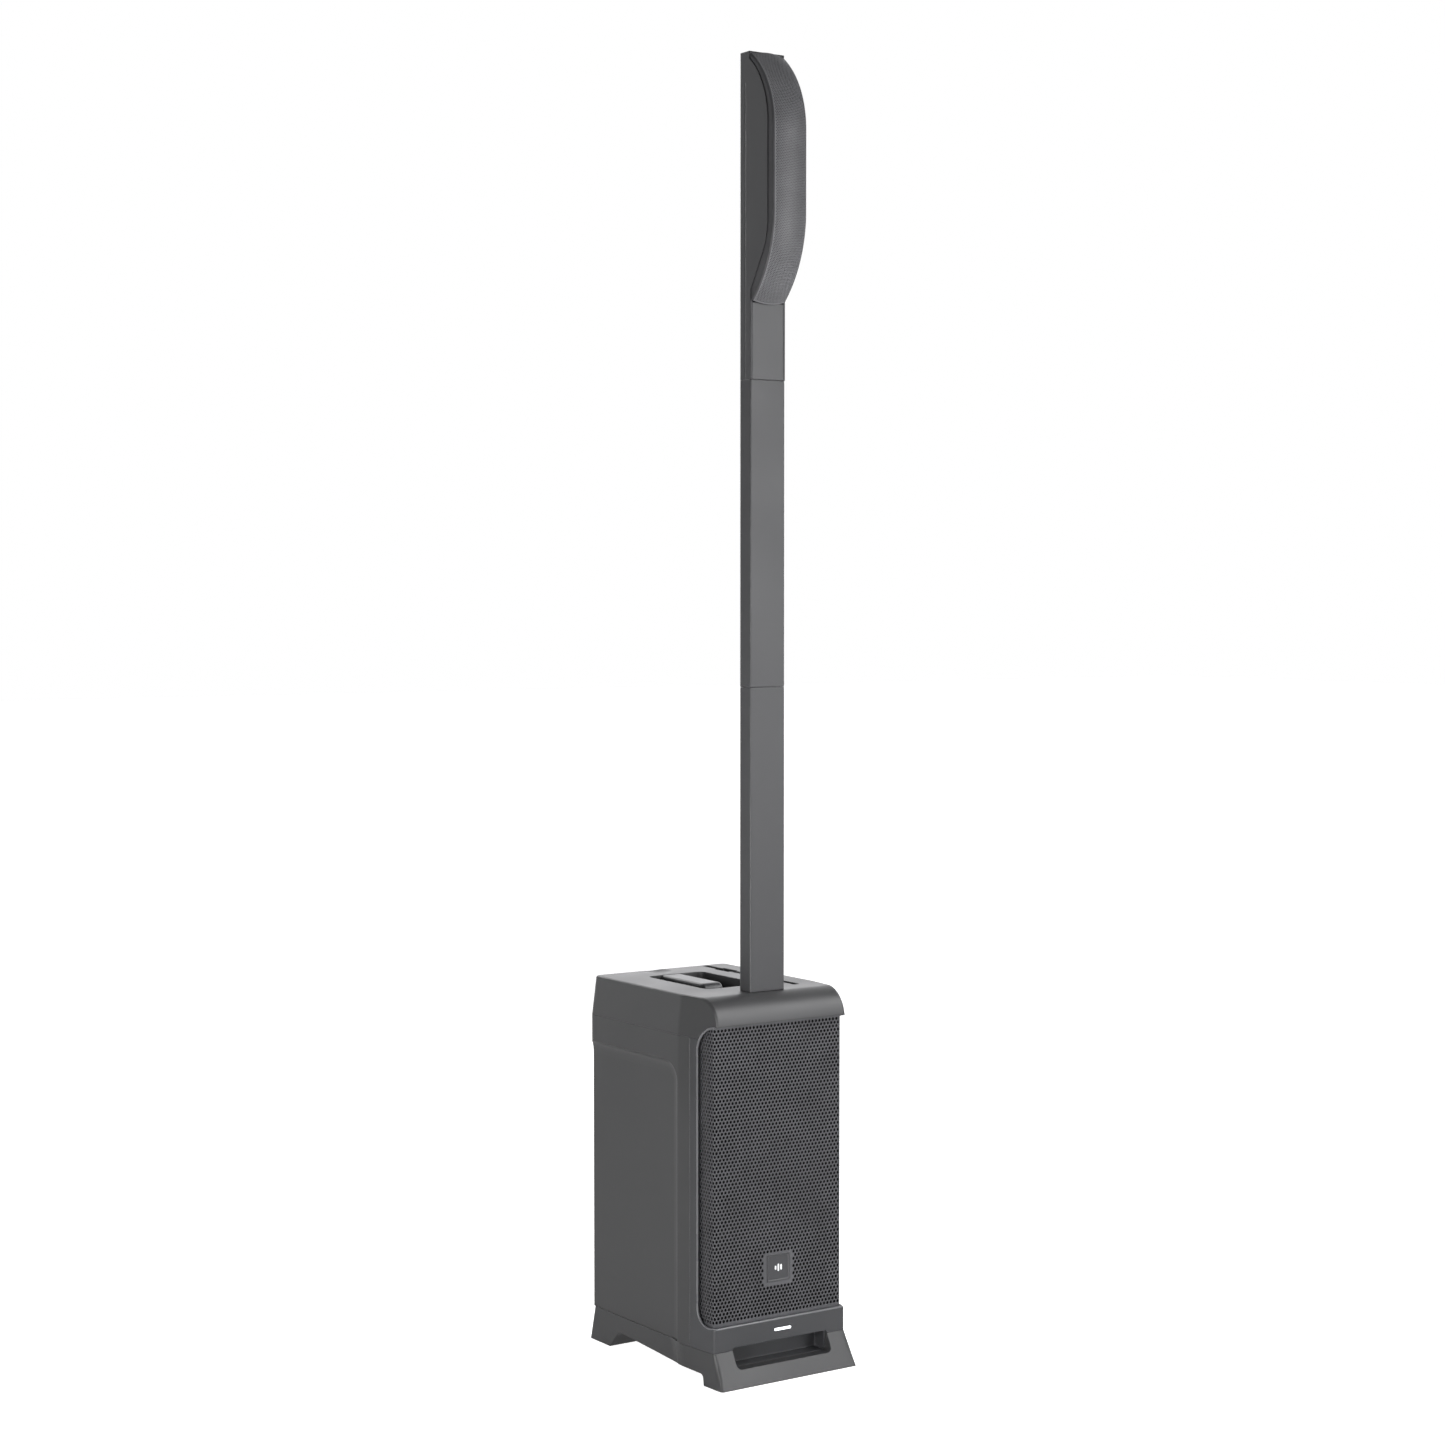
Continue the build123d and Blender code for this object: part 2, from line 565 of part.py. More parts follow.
# ---- column socket in the cap -------------------------------------------------------
pocket_x = (-SPIGOT_WIDTH / 2 - RUN, SPIGOT_WIDTH / 2 + RUN)
pocket_y = (COLUMN_Y - SPIGOT_DEPTH / 2 - RUN, COLUMN_Y + SPIGOT_DEPTH / 2 + RUN)
SOCKET_LOW = 578.5
with BuildPart() as column_socket:
    block(
        (pocket_x[0] - 4.5, pocket_x[1] + 4.5),
        (pocket_y[0] - 3, pocket_y[1] + 3),
        (SOCKET_LOW, CABINET_TOP - CAP_PLATE),
    )
    block(pocket_x, pocket_y, (SOCKET_LOW + 3.5, 700), mode=Mode.SUBTRACT)
save(column_socket, "column_socket")


def contact_blades(z_low, z_high):
    """Four flat contact blades side by side on the column's axis."""
    for x in (-15, -5, 5, 15):
        block((x - 2, x + 2), (COLUMN_Y - 4, COLUMN_Y + 4), (z_low, z_high))


TIP_GAP = 1.4
with BuildPart() as socket_contacts:
    contact_blades(SOCKET_LOW + 3.5, LOWER_Z - SPIGOT_LENGTH - 0.4 - TIP_GAP)
save(socket_contacts, "socket_contacts")

# ---- column spacers -----------------------------------------------------------------


def spacer(name, z_low):
    """One spacer: hollow tube, spigot below, socket in its upper end, contacts in both."""
    z_high = z_low + SPACER_LENGTH
    with BuildPart() as tube:
        with BuildSketch(Plane.XY.offset(z_low)) as section:
            with Locations((0, COLUMN_Y)):
                Rectangle(COLUMN_WIDTH, COLUMN_DEPTH)
            chamfer(section.vertices().group_by(Axis.Y)[0], length=1.4)
            fillet(section.vertices().group_by(Axis.Y)[-1], radius=4)
            with Locations((0, COLUMN_Y)):
                Rectangle(COLUMN_WIDTH - 2 * TUBE_WALL, COLUMN_DEPTH - 2 * TUBE_WALL, mode=Mode.SUBTRACT)
        extrude(amount=SPACER_LENGTH)
    save(tube, f"{name}_tube")

    save(spigot(z_low), f"{name}_spigot")

    plug_x = COLUMN_WIDTH / 2 - TUBE_WALL - 0.2
    plug_y = COLUMN_DEPTH / 2 - TUBE_WALL - 0.2
    pocket_floor = z_high + SEAM - SPIGOT_LENGTH - 6.0
    with BuildPart() as socket:
        block(
            (-plug_x, plug_x), (COLUMN_Y - plug_y, COLUMN_Y + plug_y), (pocket_floor - 4, z_high - 0.3)
        )
        block(pocket_x, pocket_y, (pocket_floor, z_high + 5), mode=Mode.SUBTRACT)
    save(socket, f"{name}_socket")

    with BuildPart() as contacts:
        contact_blades(z_low - SPIGOT_LENGTH - TIP_GAP, z_low - SPIGOT_LENGTH)
        contact_blades(pocket_floor, z_high + SEAM - SPIGOT_LENGTH - TIP_GAP - 0.4)
    save(contacts, f"{name}_contacts")


def spigot(z_low):
    """Plug that drops into the part below, with a root that fills the tube's end."""
    root_x = COLUMN_WIDTH / 2 - TUBE_WALL - 0.2
    root_y = COLUMN_DEPTH / 2 - TUBE_WALL - 0.2
    with BuildPart() as plug:
        block(
            (-SPIGOT_WIDTH / 2, SPIGOT_WIDTH / 2),
            (COLUMN_Y - SPIGOT_DEPTH / 2, COLUMN_Y + SPIGOT_DEPTH / 2),
            (z_low - SPIGOT_LENGTH, z_low + 1),
        )
        chamfer(plug.faces().sort_by(Axis.Z)[0].edges(), length=2)
        block((-root_x, root_x), (COLUMN_Y - root_y, COLUMN_Y + root_y), (z_low + 0.3, z_low + 30))
    return plug


spacer("lower_spacer", LOWER_Z)
spacer("upper_spacer", UPPER_Z)

# ---- array --------------------------------------------------------------------------
ARRAY_HALF = COLUMN_WIDTH / 2
LIP_Y = -183.0             # front edge of the housing where the array is deepest
GRILLE_Y = -197.0          # front of the curved grille
NECK_TOP = 1811.0


def edge_points(reach):
    """Corner points of the curved front edge in side view, moved forward by reach.

    From the neck: a straight run, an arc, an upright run and the arc to the top.
    """
    slope = radians(30)
    low_r, high_r, rise = 120.0, 140.3, 108.5
    bend_z, crown_z = 1925.0, 2080.0
    lip = LIP_Y - reach
    run_end = (lip + low_r * (1 - cos(slope)), bend_z - low_r * sin(slope))
    low_mid = (lip + low_r * (1 - cos(slope / 2)), bend_z - low_r * sin(slope / 2))
    high_mid = (lip + high_r - (high_r**2 - rise**2 / 4) ** 0.5, crown_z + rise / 2)
    high_end = (lip + high_r - (high_r**2 - rise**2) ** 0.5, crown_z + rise)
    start = (COLUMN_FRONT - reach, NECK_TOP)
    return start, run_end, low_mid, (lip, bend_z), (lip, crown_z), high_mid, high_end


def housing_side(back, top, bottom, reach=0.0):
    """Side face of the housing between its back and its curved front edge."""
    start, run_end, low_mid, low_end, high_start, high_mid, high_end = edge_points(reach)
    with BuildSketch(Plane.YZ) as profile:
        with BuildLine():
            Line(start, run_end)
            ThreePointArc(run_end, low_mid, low_end)
            Line(low_end, high_start)
            ThreePointArc(high_start, high_mid, high_end)
            Polyline(high_end, (high_end[0], top), (back, top), (back, bottom), (start[0], bottom), start)
        make_face()
    return profile.sketch


with BuildPart() as array_housing:
    extrude(housing_side(COLUMN_BACK, COLUMN_TOP, ARRAY_Z), amount=ARRAY_HALF, both=True)
    fillet(array_housing.edges().filter_by(Axis.Z).group_by(Axis.Y)[-1], radius=4)
    hollow = housing_side(COLUMN_BACK - TUBE_WALL, COLUMN_TOP - TUBE_WALL, ARRAY_Z - 5, 20)
    extrude(hollow, amount=ARRAY_HALF - TUBE_WALL, both=True, mode=Mode.SUBTRACT)
    for side in (-1, 1):
        groove_x = side * ARRAY_HALF
        block(
            (groove_x - 0.8, groove_x + 0.8), (-120.2, -119.0), (ARRAY_Z - 1, 2150), mode=Mode.SUBTRACT
        )
save(array_housing, "array_housing")

NECK_COVER_TOP = 1790.0
with BuildPart() as array_neck:
    neck_half = ARRAY_HALF - TUBE_WALL - 0.2
    block((-neck_half, neck_half), (COLUMN_FRONT, COLUMN_FRONT + 3), (ARRAY_Z, NECK_COVER_TOP))
    for side in (-1, 1):
        rib_x = side * (neck_half - 1.5)
        block(
            (rib_x - 1.5, rib_x + 1.5),
            (COLUMN_FRONT + 2, COLUMN_FRONT + 12),
            (ARRAY_Z + 34, NECK_COVER_TOP),
        )
save(array_neck, "array_neck")

save(spigot(ARRAY_Z), "array_spigot")

with BuildPart() as array_contacts:
    contact_blades(ARRAY_Z - SPIGOT_LENGTH - TIP_GAP, ARRAY_Z - SPIGOT_LENGTH)
save(array_contacts, "array_contacts")

# Curved grille: a crowned sheet with returned sides, swept up two arcs and an upright run.
MESH_LOW_Z = 1793.0
MESH_SHEET = 1.4
MESH_GAP = 0.5
MESH_HALF = ARRAY_HALF - 1
MESH_CROWN = 5.5
MESH_RETURN = 16.0
LOW_ARC_R, HIGH_ARC_R = 198.0, 157.0
LOW_ARC_Z, HIGH_ARC_Z = 1935.0, 2069.0
mesh_top_y = edge_points(MESH_GAP)[-1][0]


def mesh_low_arc(z):
    """Point of the lower arc at height z."""
    return (GRILLE_Y + LOW_ARC_R - (LOW_ARC_R**2 - (LOW_ARC_Z - z) ** 2) ** 0.5, z)


def mesh_high_arc(y):
    """Point of the upper arc at depth y."""
    return (y, HIGH_ARC_Z + (HIGH_ARC_R**2 - (GRILLE_Y + HIGH_ARC_R - y) ** 2) ** 0.5)


with BuildLine(Plane.YZ) as mesh_path:
    low_mid_z = (MESH_LOW_Z + LOW_ARC_Z) / 2
    ThreePointArc(mesh_low_arc(MESH_LOW_Z), mesh_low_arc(low_mid_z), (GRILLE_Y, LOW_ARC_Z))
    Line((GRILLE_Y, LOW_ARC_Z), (GRILLE_Y, HIGH_ARC_Z))
    ThreePointArc(
        (GRILLE_Y, HIGH_ARC_Z), mesh_high_arc(mesh_top_y - 30), mesh_high_arc(mesh_top_y)
    )
mesh_foot = mesh_path.line @ 0
mesh_rise = mesh_path.line % 0
mesh_section_plane = Plane(
    origin=mesh_foot, x_dir=(1, 0, 0), z_dir=(0, mesh_rise.Y, mesh_rise.Z)
)

with BuildPart() as array_grille:
    with BuildSketch(mesh_section_plane) as mesh_section:
        for inset, mode in ((0.0, Mode.ADD), (MESH_SHEET, Mode.SUBTRACT)):
            side_x = MESH_HALF - inset
            depth = MESH_RETURN + inset
            with BuildLine():
                crown = ThreePointArc((-side_x, inset), (0, inset - MESH_CROWN), (side_x, inset))
                Polyline(crown @ 1, (side_x, depth), (-side_x, depth), crown @ 0)
            make_face(mode=mode)
        corners = mesh_section.vertices().filter_by(lambda v: abs(v.Y) < 0.1)
        fillet(corners, radius=2.5)
    sweep(path=mesh_path.line)
    behind_edge = housing_side(-90, COLUMN_TOP + 30, MESH_LOW_Z - 30, MESH_GAP)
    extrude(behind_edge, amount=ARRAY_HALF + 5, both=True, mode=Mode.SUBTRACT)
save(array_grille, "array_grille")

# Baffle just inside the housing's edge, and the drivers on its normals.
BAFFLE_INSET = 4.0
DRIVERS = 8
DRIVER_PITCH = 44.5
FRAME_R, FRAME_H, CONE_R = 21.5, 2.0, 17.0

start, run_end, low_mid, low_end, high_start, high_mid, high_end = edge_points(-BAFFLE_INSET)
with BuildLine(Plane.YZ) as baffle_line:
    Line(start, run_end)
    ThreePointArc(run_end, low_mid, low_end)
    Line(low_end, high_start)
    ThreePointArc(high_start, high_mid, high_end)
baffle_path = Wire(baffle_line.edges())
path_length = baffle_path.length
first_driver = (path_length - DRIVER_PITCH * (DRIVERS - 1)) / 2


def driver_plane(index):
    """Plane on the baffle's face at one driver, its normal pointing out to the listener."""
    share = (first_driver + index * DRIVER_PITCH) / path_length
    point = baffle_path @ share
    along = baffle_path % share
    return Plane(origin=point, x_dir=(1, 0, 0), z_dir=Vector(0, -along.Z, along.Y))


driver_planes = [driver_plane(index) for index in range(DRIVERS)]
if driver_planes[0].z_dir.Y > 0:
    driver_planes = [Plane(origin=p.origin, x_dir=(1, 0, 0), z_dir=-p.z_dir) for p in driver_planes]

with BuildPart() as array_baffle:
    baffle_half = ARRAY_HALF - TUBE_WALL - 0.2
    inside = COLUMN_BACK - TUBE_WALL
    front = housing_side(inside, high_end[1] + 3, NECK_TOP - 3, -BAFFLE_INSET)
    behind = housing_side(inside, high_end[1] + 8, NECK_TOP - 8, -BAFFLE_INSET - 3)
    extrude(front, amount=baffle_half, both=True)
    extrude(behind, amount=baffle_half + 5, both=True, mode=Mode.SUBTRACT)
    for plane in driver_planes:
        with BuildSketch(plane.offset(-8)):
            Circle(CONE_R + 2)
        extrude(amount=16, mode=Mode.SUBTRACT)
save(array_baffle, "array_baffle")


def on_driver(plane, points):
    """Solid of revolution about a driver's axis from (radius, height) points."""
    side = Plane(origin=plane.origin, x_dir=plane.x_dir, z_dir=-plane.y_dir)
    with BuildSketch(side) as face:
        with BuildLine():
            Polyline(*points, close=True)
        make_face()
    revolve(face.sketch, axis=Axis(plane.origin, plane.z_dir))


with BuildPart() as array_driver_frames:
    for plane in driver_planes:
        on_driver(
            plane,
            [
                (CONE_R + 1, 0.1), (FRAME_R, 0.1), (FRAME_R, FRAME_H), (CONE_R + 0.6, FRAME_H),
                (CONE_R + 0.6, -4), (12, -8), (12, -18), (0, -18), (0, -12), (10, -12), (10, -7),
                (CONE_R - 0.6, -4.5), (CONE_R + 1, -4.5),
            ],
        )
save(array_driver_frames, "array_driver_frames")

with BuildPart() as array_driver_cones:
    for plane in driver_planes:
        on_driver(
            plane,
            [
                (0, 0.4), (5, -0.4), (7, -2.2), (CONE_R - 1.2, 1.0), (CONE_R - 1.2, 0.2), (8, -3.6),
                (0, -3.6),
            ],
        )
save(array_driver_cones, "array_driver_cones")

# ---- rear control panel -------------------------------------------------------------
DISPLAY_X, DISPLAY_Z, DISPLAY_W, DISPLAY_H = -44.0, 516.0, 84.0, 46.0
KNOB_X, KNOB_Z = 58.0, 512.0
POT_Z, POT_XS = 438.0, (-78.0, -38.0, 2.0, 42.0)
BUTTON_Z, BUTTON_XS = 474.0, (-76.0, -48.0, -20.0)
JACK_Z, JACK_XS = 392.0, (-78.0, -38.0)
LINE_X, AUX_X, USB_X, USB_W, USB_H = 2.0, 30.0, 66.0, 13.0, 5.6
INLET_X, MAINS_Z, INLET_W, INLET_H = -62.0, 334.0, 25.0, 17.0
ROCKER_X, ROCKER_W, ROCKER_R = -14.0, 13.0, 10.5
COMBO_R, BUSH_R, LINE_R, AUX_R, PLUG_R = 12.5, 4.0, 7.0, 4.5, 3.3

PANEL_BACK = PANEL_FACE - PANEL_THICK


def panel_sketch_plane(y):
    """Plane facing the rear at a depth y, with local X to the left of the speaker."""
    return Plane(origin=(0, y, 0), x_dir=(1, 0, 0), z_dir=(0, -1, 0))


panel_bolts = [
    (x, PANEL_FACE, z)
    for x in (-PANEL_HALF + 4.2, 0, PANEL_HALF - 4.2)
    for z in (PANEL_LOW + 4.2, PANEL_HIGH - 4.2)
]
panel_bolts += [(side * (PANEL_HALF - 4.2), PANEL_FACE, 428) for side in (-1, 1)]
with BuildPart() as rear_panel:
    with BuildSketch(panel_sketch_plane(PANEL_FACE)):
        with Locations((0, (PANEL_LOW + PANEL_HIGH) / 2)):
            RectangleRounded(2 * PANEL_HALF, PANEL_HIGH - PANEL_LOW, 6.7)
    extrude(amount=PANEL_THICK)
    with BuildSketch(panel_sketch_plane(PANEL_FACE + 2)):
        with Locations((DISPLAY_X, DISPLAY_Z)):
            Rectangle(DISPLAY_W - 3, DISPLAY_H - 3)
        with Locations((USB_X, JACK_Z)):
            Rectangle(USB_W + 4.4, USB_H + 4.4)
        with Locations((INLET_X, MAINS_Z)):
            Rectangle(INLET_W + 4.4, INLET_H + 4.4)
        with Locations((ROCKER_X, MAINS_Z)):
            Rectangle(ROCKER_W + 0.6, 2 * ROCKER_R + 0.6)
        with Locations(*[(x, JACK_Z) for x in JACK_XS]):
            Circle(COMBO_R + 0.2)
        with Locations((LINE_X, JACK_Z)):
            Circle(LINE_R + 0.2)
        with Locations((AUX_X, JACK_Z)):
            Circle(AUX_R + 0.2)
        with Locations(*[(x, BUTTON_Z) for x in BUTTON_XS]):
            Circle(5.3)
        with Locations((KNOB_X, KNOB_Z), *[(x, POT_Z) for x in POT_XS]):
            Circle(BUSH_R)
        with Locations(*[(x, z) for x, _, z in panel_bolts]):
            Circle(1.6)
    extrude(amount=PANEL_THICK + 4, mode=Mode.SUBTRACT)
    # sunk seat for the display window
    with BuildSketch(panel_sketch_plane(PANEL_FACE + 2)):
        with Locations((DISPLAY_X, DISPLAY_Z)):
            RectangleRounded(DISPLAY_W + 0.4, DISPLAY_H + 0.4, 3.2)
    extrude(amount=3.5, mode=Mode.SUBTRACT)
save(rear_panel, "rear_panel")

with BuildPart() as display_window:
    with BuildSketch(panel_sketch_plane(PANEL_FACE)):
        with Locations((DISPLAY_X, DISPLAY_Z)):
            RectangleRounded(DISPLAY_W, DISPLAY_H, 3)
    extrude(amount=1.5)
save(display_window, "display_window")

save(screws(panel_bolts, 3.2, 1.8, 2.9, (0, 1, 0)), "panel_screws")

with BuildPart() as control_board:
    board_y = 166.0
    block((-96, 96), (board_y, board_y + 1.6), (312, 544))
    for x in POT_XS:
        block((x - 6, x + 6), (board_y + 1.6, 176), (POT_Z - 6, POT_Z + 6))
    block((KNOB_X - 7, KNOB_X + 7), (board_y + 1.6, 172), (KNOB_Z - 7, KNOB_Z + 7))
    for x in BUTTON_XS:
        block((x - 4, x + 4), (board_y + 1.6, 174), (BUTTON_Z - 4, BUTTON_Z + 4))
    block((DISPLAY_X - 38, DISPLAY_X + 38), (board_y + 1.6, 182), (DISPLAY_Z - 19, DISPLAY_Z + 19))
    # clear of the sockets that pass it
    for x in JACK_XS:
        ring(COMBO_R + 1.5, 0, 150, 190, x, JACK_Z, mode=Mode.SUBTRACT)
    ring(LINE_R + 1.5, 0, 150, 190, LINE_X, JACK_Z, mode=Mode.SUBTRACT)
    ring(AUX_R + 1.5, 0, 150, 190, AUX_X, JACK_Z, mode=Mode.SUBTRACT)
    block((USB_X - 11, USB_X + 11), (150, 190), (JACK_Z - 8, JACK_Z + 8), mode=Mode.SUBTRACT)
    block((-82, 3), (150, 190), (300, MAINS_Z + 16), mode=Mode.SUBTRACT)
save(control_board, "control_board")

with BuildPart() as encoder_stem:
    stem_tip = PANEL_FACE + 9.0
    ring(3.0, 0, 173.2, stem_tip, KNOB_X, KNOB_Z)
save(encoder_stem, "encoder_stem")


def knob(x, z, radius, low, high, shaft_r=0.0, bore_r=0.0):
    """Knob with a chamfered crown, finger flutes and a pointer notch, on an axis along Y."""
    with BuildPart() as cap:
        base = Plane(origin=(x, low, z), x_dir=(1, 0, 0), z_dir=(0, 1, 0))
        with BuildSketch(base):
            Circle(radius)
            with PolarLocations(radius + 0.5, 14, start_angle=12.8):
                Circle(1.1, mode=Mode.SUBTRACT)
        extrude(amount=high - low)
        chamfer(cap.faces().sort_by(Axis.Y)[-1].edges(), length=0.5)
        block((x - 0.6, x + 0.6), (high - 0.6, high + 1), (z, z + radius + 1), mode=Mode.SUBTRACT)
        if bore_r:
            ring(bore_r, 0, low - 1, high - 3, x, z, mode=Mode.SUBTRACT)
        if shaft_r:
            ring(shaft_r, 0, 176.3, low + 1, x, z)
    return cap


save(knob(KNOB_X, KNOB_Z, 16.0, PANEL_FACE + 1.6, PANEL_FACE + 13.0, bore_r=3.04), "main_knob")
for number, x in enumerate(POT_XS, start=1):
    save(
        knob(x, POT_Z, 7.0, PANEL_FACE + 0.8, PANEL_FACE + 12.0, shaft_r=3.0), f"channel_knob_{number}"
    )

for name, x in zip(("menu_button", "link_button", "preset_button"), BUTTON_XS):
    with BuildPart() as button:
        ring(5.0, 0, 175.2, PANEL_FACE + 2.2, x, BUTTON_Z)
        fillet(button.faces().sort_by(Axis.Y)[-1].edges(), radius=0.8)
    save(button, name)

with BuildPart() as combo_sockets:
    for x in JACK_XS:
        ring(COMBO_R, 0, 156, PANEL_FACE + 0.6, x, JACK_Z)
        # ring groove for a round plug's shell, three pin holes and the middle bore
        ring(9.8, 8.0, 174, PANEL_FACE + 2, x, JACK_Z, mode=Mode.SUBTRACT)
        for angle in (90, 210, 330):
            pin_x = x + 5.8 * cos(radians(angle))
            pin_z = JACK_Z + 5.8 * sin(radians(angle))
            ring(1.3, 0, 174, PANEL_FACE + 2, pin_x, pin_z, mode=Mode.SUBTRACT)
        ring(PLUG_R, 0, 158, PANEL_FACE + 2, x, JACK_Z, mode=Mode.SUBTRACT)
save(combo_sockets, "combo_sockets")

with BuildPart() as line_sockets:
    ring(LINE_R, PLUG_R, 156, PANEL_FACE + 1.2, LINE_X, JACK_Z)
    chamfer(line_sockets.edges().filter_by(GeomType.CIRCLE).group_by(Axis.Y)[-1], length=0.5)
    ring(AUX_R, 1.8, 168.2, PANEL_FACE + 0.8, AUX_X, JACK_Z)
save(line_sockets, "line_sockets")


def box_socket(x, z, width, height, y_back, depth):
    """Rectangular socket body with a wall of 2 mm round its way in."""
    with BuildPart() as body:
        block(
            (x - width / 2 - 2, x + width / 2 + 2),
            (y_back, PANEL_FACE + 0.6),
            (z - height / 2 - 2, z + height / 2 + 2),
        )
        block(
            (x - width / 2, x + width / 2),
            (PANEL_FACE - depth, PANEL_FACE + 5),
            (z - height / 2, z + height / 2),
            mode=Mode.SUBTRACT,
        )
    return body


save(box_socket(USB_X, JACK_Z, USB_W, USB_H, 168.2, 14), "usb_socket")
save(box_socket(INLET_X, MAINS_Z, INLET_W, INLET_H, 160, 17), "mains_inlet")

with BuildPart() as inlet_pins:
    for x, z in ((-7, -2.5), (7, -2.5), (0, 2.5)):
        block(
            (INLET_X + x - 1, INLET_X + x + 1),
            (PANEL_FACE - 17, PANEL_FACE - 6),
            (MAINS_Z + z - 1.6, MAINS_Z + z + 1.6),
        )
save(inlet_pins, "inlet_pins")

ROCKER_TILT = 8.0
ROCKER_Y = PANEL_FACE - 3.5
with BuildPart() as power_rocker:
    tilt = radians(ROCKER_TILT)
    rocker_side = Plane(
        origin=(ROCKER_X, ROCKER_Y, MAINS_Z), x_dir=(0, cos(tilt), sin(tilt)), z_dir=(1, 0, 0)
    )
    with BuildSketch(rocker_side):
        Circle(ROCKER_R)
        with Locations((-ROCKER_R - 6.0, 0)):
            Rectangle(2 * ROCKER_R, 3 * ROCKER_R, mode=Mode.SUBTRACT)
        crest, fall = 6.0, 12 * tan(radians(ROCKER_TILT))
        with BuildLine():
            Polyline((crest, 0), (crest - fall, 12), (30, 12), (30, -12), (crest - fall, -12), close=True)
        make_face(mode=Mode.SUBTRACT)
    extrude(amount=ROCKER_W / 2, both=True)
save(power_rocker, "power_rocker")

# ---- amplifier ----------------------------------------------------------------------
# transformers, chokes and capacitor banks: place across, height, width, depth on the board
BOARD_PARTS = (
    (-55, 480, 40, 26), (-5, 490, 30, 30), (50, 470, 44, 34), (-50, 380, 36, 50), (30, 380, 60, 28),
)

with BuildPart() as amplifier_board:
    block((-92, 92), (138, 140), (320, 540))
    for x, z, width, height in BOARD_PARTS:
        block((x - width / 2, x + width / 2), (140, 154), (z - height / 2, z + height / 2))
save(amplifier_board, "amplifier_board")

with BuildPart() as heatsink:
    block((-80, 80), (130, 137.7), (330, 530))
    for index in range(13):
        fin_x = -78 + index * 13
        block((fin_x - 1.5, fin_x + 1.5), (104, 131), (330, 530))
save(heatsink, "heatsink")

# ---- battery ------------------------------------------------------------------------
with BuildPart() as battery_bay:
    block((-BAY_HALF - 3, BAY_HALF + 3), (BAY_FRONT - 3, SLAB_FRONT), (BAY_LOW - 3, BAY_HIGH + 3))
    block((-BAY_HALF, BAY_HALF), (BAY_FRONT, 200), (BAY_LOW, BAY_HIGH), mode=Mode.SUBTRACT)
save(battery_bay, "battery_bay")

with BuildPart() as battery_contacts:
    for x in (-24, -8, 8, 24):
        block((x - 2, x + 2), (BAY_FRONT, BAY_FRONT + 5), (140, 160))
save(battery_contacts, "battery_contacts")

GRIP_W, GRIP_H, GRIP_DEPTH, GRIP_Z = 84.0, 30.0, 17.0, 146.0
RELEASE_W, RELEASE_H, RELEASE_Z = 34.0, 12.0, 192.0
with BuildPart() as battery_pack:
    block((-BAY_HALF + RUN, BAY_HALF - RUN), (BAY_FRONT + 6, 192), (BAY_LOW + RUN, BAY_HIGH - RUN))
    with BuildSketch(panel_sketch_plane(198.5)):
        with Locations((0, (BAY_LOW + BAY_HIGH) / 2)):
            RectangleRounded(2 * BAY_HALF + 23, BAY_HIGH - BAY_LOW + 19, 8.5)
    extrude(amount=8.5)
    chamfer(battery_pack.faces().sort_by(Axis.Y)[-1].outer_wire().edges(), length=1)
    with BuildSketch(panel_sketch_plane(205)):
        with Locations((0, GRIP_Z)):
            RectangleRounded(GRIP_W, GRIP_H, 8)
    extrude(amount=6.5 + GRIP_DEPTH, mode=Mode.SUBTRACT)
    block(
        (-RELEASE_W / 2 - RUN, RELEASE_W / 2 + RUN),
        (188, 205),
        (RELEASE_Z - RELEASE_H / 2 - RUN, RELEASE_Z + RELEASE_H / 2 + RUN),
        mode=Mode.SUBTRACT,
    )
save(battery_pack, "battery_pack")

with BuildPart() as battery_release:
    with BuildSketch(panel_sketch_plane(199.5)):
        with Locations((0, RELEASE_Z)):
            RectangleRounded(RELEASE_W, RELEASE_H, 3)
    extrude(amount=8)
    fillet(battery_release.faces().sort_by(Axis.Y)[-1].edges(), radius=0.8)
save(battery_release, "battery_release")
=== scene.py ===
"""Looks of the column PA speaker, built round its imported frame. Lengths are in metres."""
import json
import math

import bpy
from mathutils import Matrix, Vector


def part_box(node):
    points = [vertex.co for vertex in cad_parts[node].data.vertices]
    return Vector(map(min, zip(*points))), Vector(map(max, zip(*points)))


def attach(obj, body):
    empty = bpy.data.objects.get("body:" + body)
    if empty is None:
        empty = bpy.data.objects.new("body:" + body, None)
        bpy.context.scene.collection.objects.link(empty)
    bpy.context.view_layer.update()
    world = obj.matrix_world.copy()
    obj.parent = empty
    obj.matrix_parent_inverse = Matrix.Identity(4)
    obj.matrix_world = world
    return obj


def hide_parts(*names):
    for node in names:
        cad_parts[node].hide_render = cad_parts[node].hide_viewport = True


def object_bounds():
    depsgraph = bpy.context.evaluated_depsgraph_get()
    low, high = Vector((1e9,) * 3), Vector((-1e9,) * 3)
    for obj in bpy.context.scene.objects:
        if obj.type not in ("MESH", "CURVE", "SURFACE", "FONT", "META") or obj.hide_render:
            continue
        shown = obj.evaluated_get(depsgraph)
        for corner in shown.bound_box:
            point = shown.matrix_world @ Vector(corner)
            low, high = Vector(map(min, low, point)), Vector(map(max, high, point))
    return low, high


MM = 0.001
CAMERA_AZIMUTH, CAMERA_ELEVATION = -34.451, 2.591
